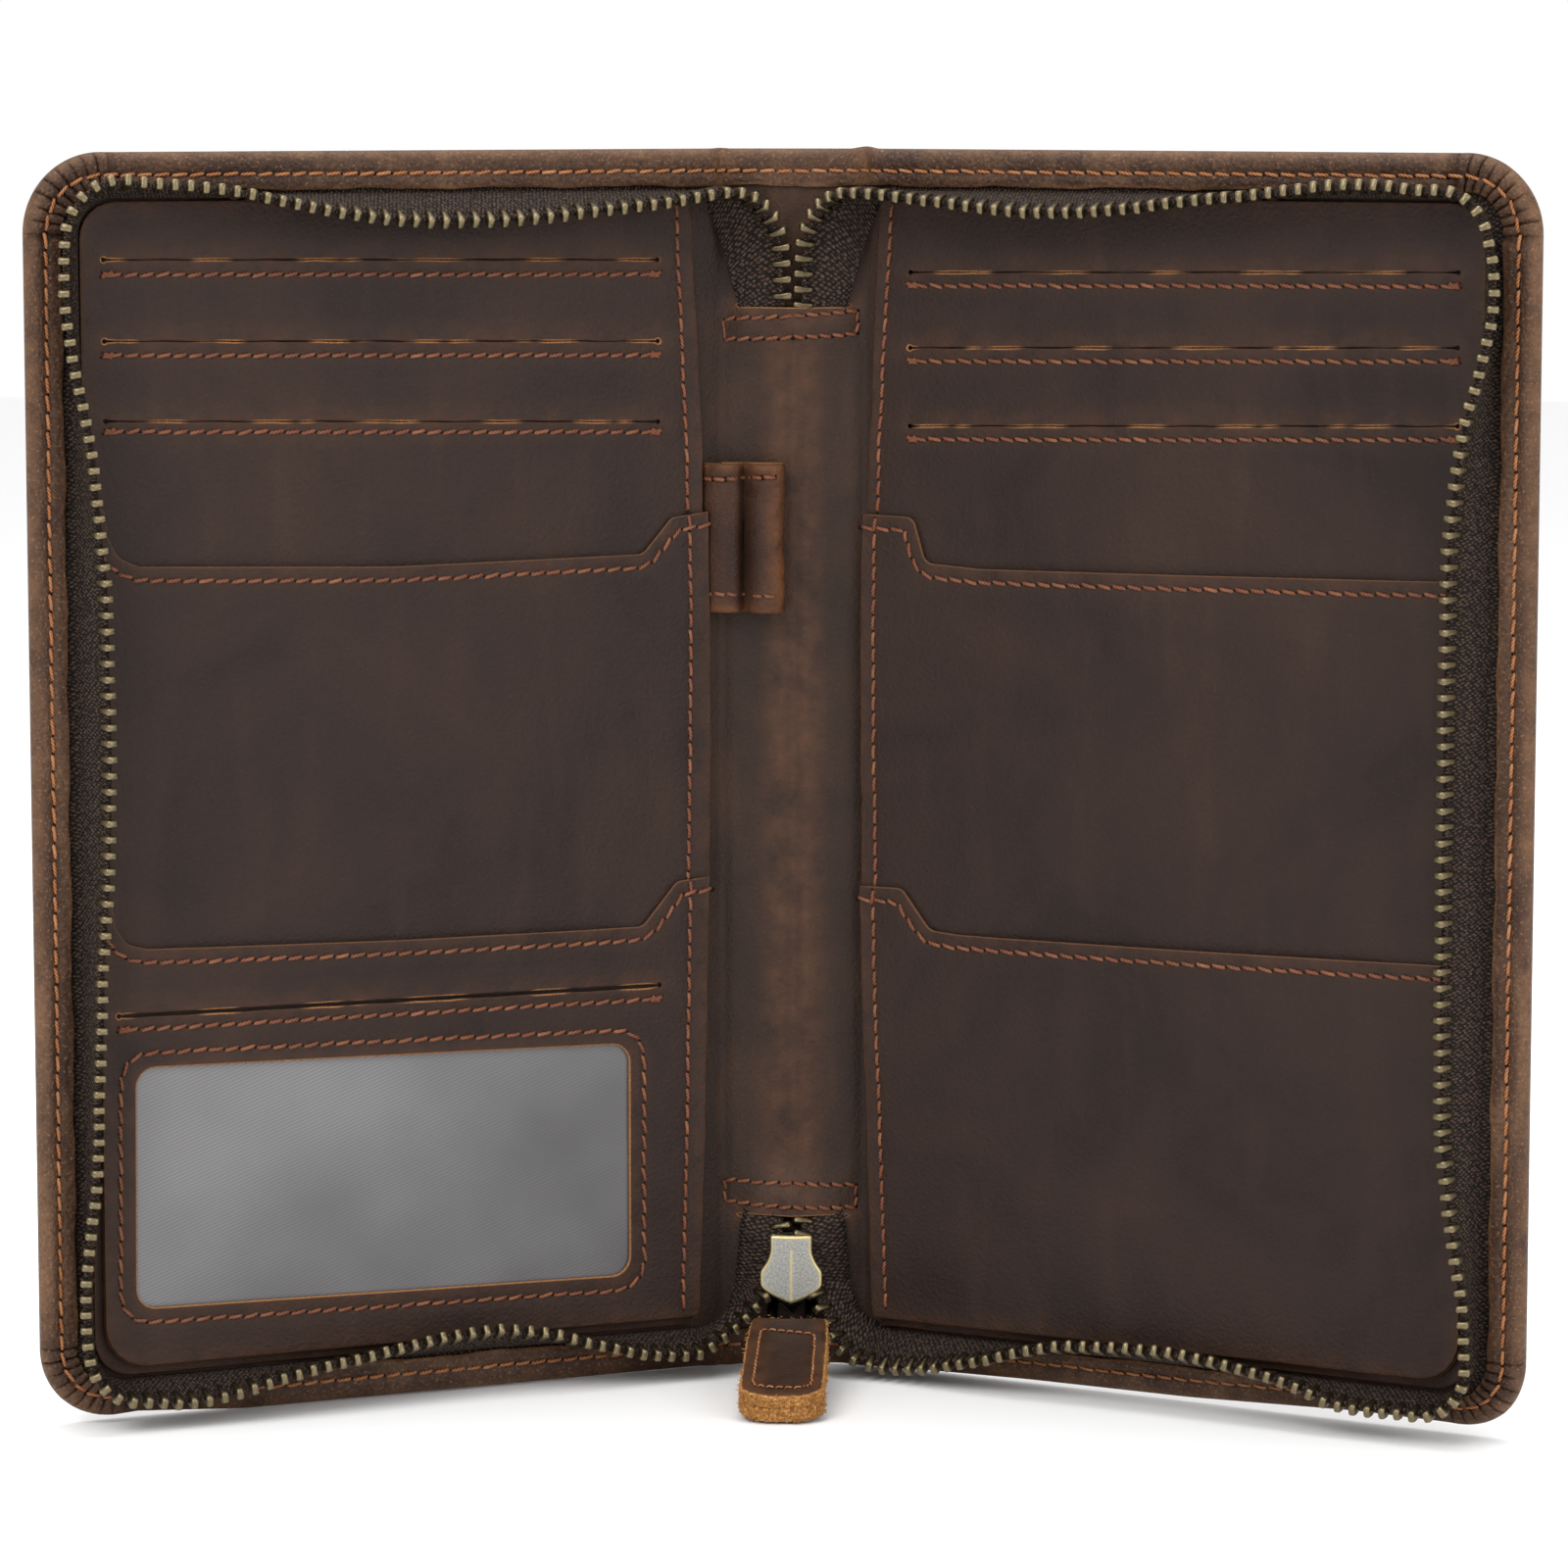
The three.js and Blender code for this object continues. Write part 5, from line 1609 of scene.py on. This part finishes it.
PULL_HALF, PULL_REACH, PULL_HEEL, PULL_THICK = 6.85, 32.4, 1.8, 2.5
RING_POCKET = 4.3  # half the width of the hollow that the ring lies in
PULL_SEWING = [(-4.6, 4.6), (4.6, 6.6), (4.9, 28.3), (0, 29.8), (-4.9, 28.0)]
# (inset, share of the thickness) up one leather's raw edge, from the glued middle to its top
PULL_EDGE = [(0.35, 0.0), (0.08, 0.14), (-0.06, 0.3), (-0.02, 0.45), (-0.1, 0.6), (-0.02, 0.74),
             (0.02, 0.86), (0.14, 0.955), (0.42, 1.0)]
EDGE_BARE = 7  # this many of those rings are all raw leather
PULL_STITCHES = {"pitch": 1.55, "slant": 0.1, "thread": 0.19, "hole": 0.28}
FIBRE_TRIALS = 2600
FIBRE_RADII = np.array([0.1, 0.1, 0.085, 0.065, 0.03])


def pull_outline():
    """The pull's outline, (x, distance out from the ring), a little ragged toward its end."""
    corners = [(-PULL_HALF + 0.5, -PULL_HEEL), (PULL_HALF - 0.5, -PULL_HEEL), (PULL_HALF - 0.1, 10),
               (PULL_HALF, PULL_REACH - 0.8), (0, PULL_REACH + 0.2), (-PULL_HALF, PULL_REACH - 0.8),
               (-PULL_HALF + 0.1, 10)]
    loop = rounded(corners, [3.6, 3.6, 0, 4.6, 12, 4.6, 0], steps=9)
    loop = divided(loop, 0.45)
    rough = 0.14 + 0.2 * smooth((loop[:, 1] - 22) / 8)
    run = lengths(loop)
    bump = ripple(run, 7, 5.1) * 0.5 + ripple(run, 8, 1.7) * 0.4
    return loop - inset_normals(loop, False) * (rough * bump)[:, None]


def pull():
    """Two leathers glued and sewn together round the ring, with raw, hairy edges."""
    angle = math.asin(PIN_Z / math.hypot(PULL_REACH, PULL_THICK)) - math.atan2(PULL_THICK, PULL_REACH)
    place = place_slope(PIN_W, PIN_Z, angle)
    outline = pull_outline()
    moves = inset_normals(outline, False)
    n = len(outline)
    sewing = divided(rounded(PULL_SEWING, [0.6, 0.6, 1.6, 14, 1.6]), 1.2)
    sewing = np.concatenate([sewing, sewing[:3]])
    random = np.random.default_rng(77)
    build, fibres = Build(), Build()
    for sign in (1, -1):
        def outer(x, y):
            p = np.stack([np.ravel(x), np.ravel(y)], 1)
            heel = np.sqrt(np.clip(1 - np.clip((0.4 - p[:, 1]) / 2.3, 0, 1) ** 2, 0.12, 1))
            dip = 0.2 * np.exp(-(distance_to(p, [sewing]) / 0.6) ** 2)
            sag = 0.12 * ripple(p[:, 1], 14, 31) + 0.08 * ripple(p[:, 0], 15, 13)
            return ((PULL_THICK + sag * (sign > 0)) * heel - dip).reshape(np.shape(x))

        def inner(x, y):
            mouth = smooth((RING_POCKET + 0.6 - np.abs(x)) / 0.9) * smooth((3.0 - y) / 1.6)
            return np.minimum(0.03 + 1.4 * mouth, np.maximum(outer(x, y) - 0.5, 0.03))

        rings, wear, uvs = [], [], []
        for k, (inset, share) in enumerate(PULL_EDGE):
            fuzz = random.normal(0, 0.09, n) * (0 < k < EDGE_BARE) * (0.4 + smooth((outline[:, 1] - 18) / 8))
            p = outline + moves * (inset + fuzz)[:, None]
            low, high = inner(p[:, 0], p[:, 1]), outer(p[:, 0], p[:, 1])
            rings.append(np.column_stack([p, sign * (low + (high - low) * share)]))
            wear.append(np.full(n, 1.0 if k < EDGE_BARE else (0.7 if k == EDGE_BARE else 0.45)))
            uvs.append(outline - moves * 2.5 * (1 - share))
        top_ring, under_ring = rings[-1][:, :2], rings[0][:, :2]
        interior = fill_points([top_ring], 1.0, [sewing])
        flat, faces = triangles([top_ring], interior)
        edge_distance = distance_to(flat[n:], [ringed(outline)])
        points = rings + [np.column_stack([flat[n:], sign * outer(flat[n:, 0], flat[n:, 1])])]
        wear.append(0.46 * np.clip(1 - edge_distance / 4.2, 0, 1))
        uvs.append(flat[n:])
        base = n * (len(PULL_EDGE) - 1)
        low_interior = fill_points([under_ring], 1.6, [])
        low_flat, low_faces = triangles([under_ring], low_interior)
        points.append(np.column_stack([low_flat[n:], sign * inner(low_flat[n:, 0], low_flat[n:, 1])]))
        wear.append(np.ones(len(low_flat) - n))
        uvs.append(low_flat[n:] + 90)
        low_base = base + len(flat)
        bottom = np.where(low_faces < n, low_faces, low_faces + low_base - n)[:, ::-1]
        every = np.concatenate(points)
        build.add(place(*every.T),
                  ring_quads(len(PULL_EDGE), n) + (faces + base).tolist() + bottom.tolist(),
                  np.concatenate(uvs), np.concatenate(wear), flip=sign > 0)
        # loose fibres on the raw edges
        spots = random.integers(0, n, FIBRE_TRIALS)
        keep = random.uniform(0, 1, FIBRE_TRIALS) < 0.1 + 0.9 * smooth((outline[spots, 1] - 24) / 7)
        for i in spots[keep]:
            h = sign * random.uniform(0.25, 2.25)
            way = np.array([*(-moves[i]), random.normal(0, 0.5)])
            way = unit(way + random.normal(0, 0.55, 3))
            bend = random.normal(0, 0.5, 3)
            length = random.uniform(0.25, 0.75)
            t = np.linspace(0, 1, 5)[:, None]
            root = np.array([*outline[i], h]) - way * 0.12
            hair = root + way * length * t + bend * length * t ** 2 * 0.6
            tube(fibres, place(*hair.T), FIBRE_RADII, wear=1.0, spokes=5)
        if sign > 0:
            top_surface = outer
    obj = build.object("pull_leather", [PULLED])
    fuzz = fibres.object("pull_fibres", [PULLED])
    threads = Build()
    for face in (1, -1):
        stitches(threads, place, 1, sewing, lambda x, y: face * top_surface(x, y), face=face, **PULL_STITCHES)
    thread = threads.object("pull_thread", BORDER_THREADS)
    for piece in (obj, fuzz, thread):
        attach(piece, "leather_pull")
    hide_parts("leather_pull")


pull()

for node in ("left_stiffener_board", "right_stiffener_board", "spine_stiffener"):
    bpy.data.objects[node].data.materials.clear()
    bpy.data.objects[node].data.materials.append(BOARD)


# ---- stage, lights and camera, in metres ----
FLOOR_Z, FLOOR_HALF = -0.0002, 3


def add_light(name, place, size, power):
    """A round lamp aimed at the wallet's middle."""
    data = bpy.data.lights.new(name, "AREA")
    data.shape, data.size, data.energy = "DISK", size, power
    obj = bpy.data.objects.new(name, data)
    obj.location = place
    direction = np.array((0, 0, 0.1)) - np.array(place)
    obj.rotation_euler = Vector(direction).to_track_quat("-Z", "Y").to_euler()
    linked(obj)


def build_stage():
    floor = Shader("floor_white")
    floor.finish(floor.mix(floor.noise(300), (0.9, 0.9, 0.9, 1), (0.93, 0.93, 0.93, 1)), 0.7)
    mesh = bpy.data.meshes.new("floor")
    corners = [(x * FLOOR_HALF, y * FLOOR_HALF, 0) for x, y in ((-1, -1), (1, -1), (1, 1), (-1, 1))]
    mesh.from_pydata(corners, [], [(0, 1, 2, 3)])
    mesh.materials.append(floor.material)
    obj = bpy.data.objects.new("floor", mesh)
    obj.location.z = FLOOR_Z
    linked(obj)
    world = bpy.data.worlds.new("studio")
    world.use_nodes = True
    world.node_tree.nodes["Background"].inputs[0].default_value = (1, 1, 1, 1)
    world.node_tree.nodes["Background"].inputs[1].default_value = 1.0
    bpy.context.scene.world = world
    bpy.context.scene.view_settings.view_transform = "Standard"
    add_light("key", (-0.5, -0.9, 1.0), 0.7, 9)
    add_light("fill", (0.9, -0.8, 0.6), 0.9, 5)
    add_light("top", (0, 0.1, 1.2), 0.8, 7)


def build_camera():
    data = bpy.data.cameras.new("camera")
    data.lens, data.sensor_width = 135.97, 36
    data.clip_start = 0.05
    obj = bpy.data.objects.new("camera", data)
    obj.location = (0.0462, -0.96833, 0.2217)
    obj.rotation_euler = (math.radians(90 - 6.91), 0, math.radians(2.74))
    bpy.context.scene.camera = linked(obj)


build_stage()
build_camera()
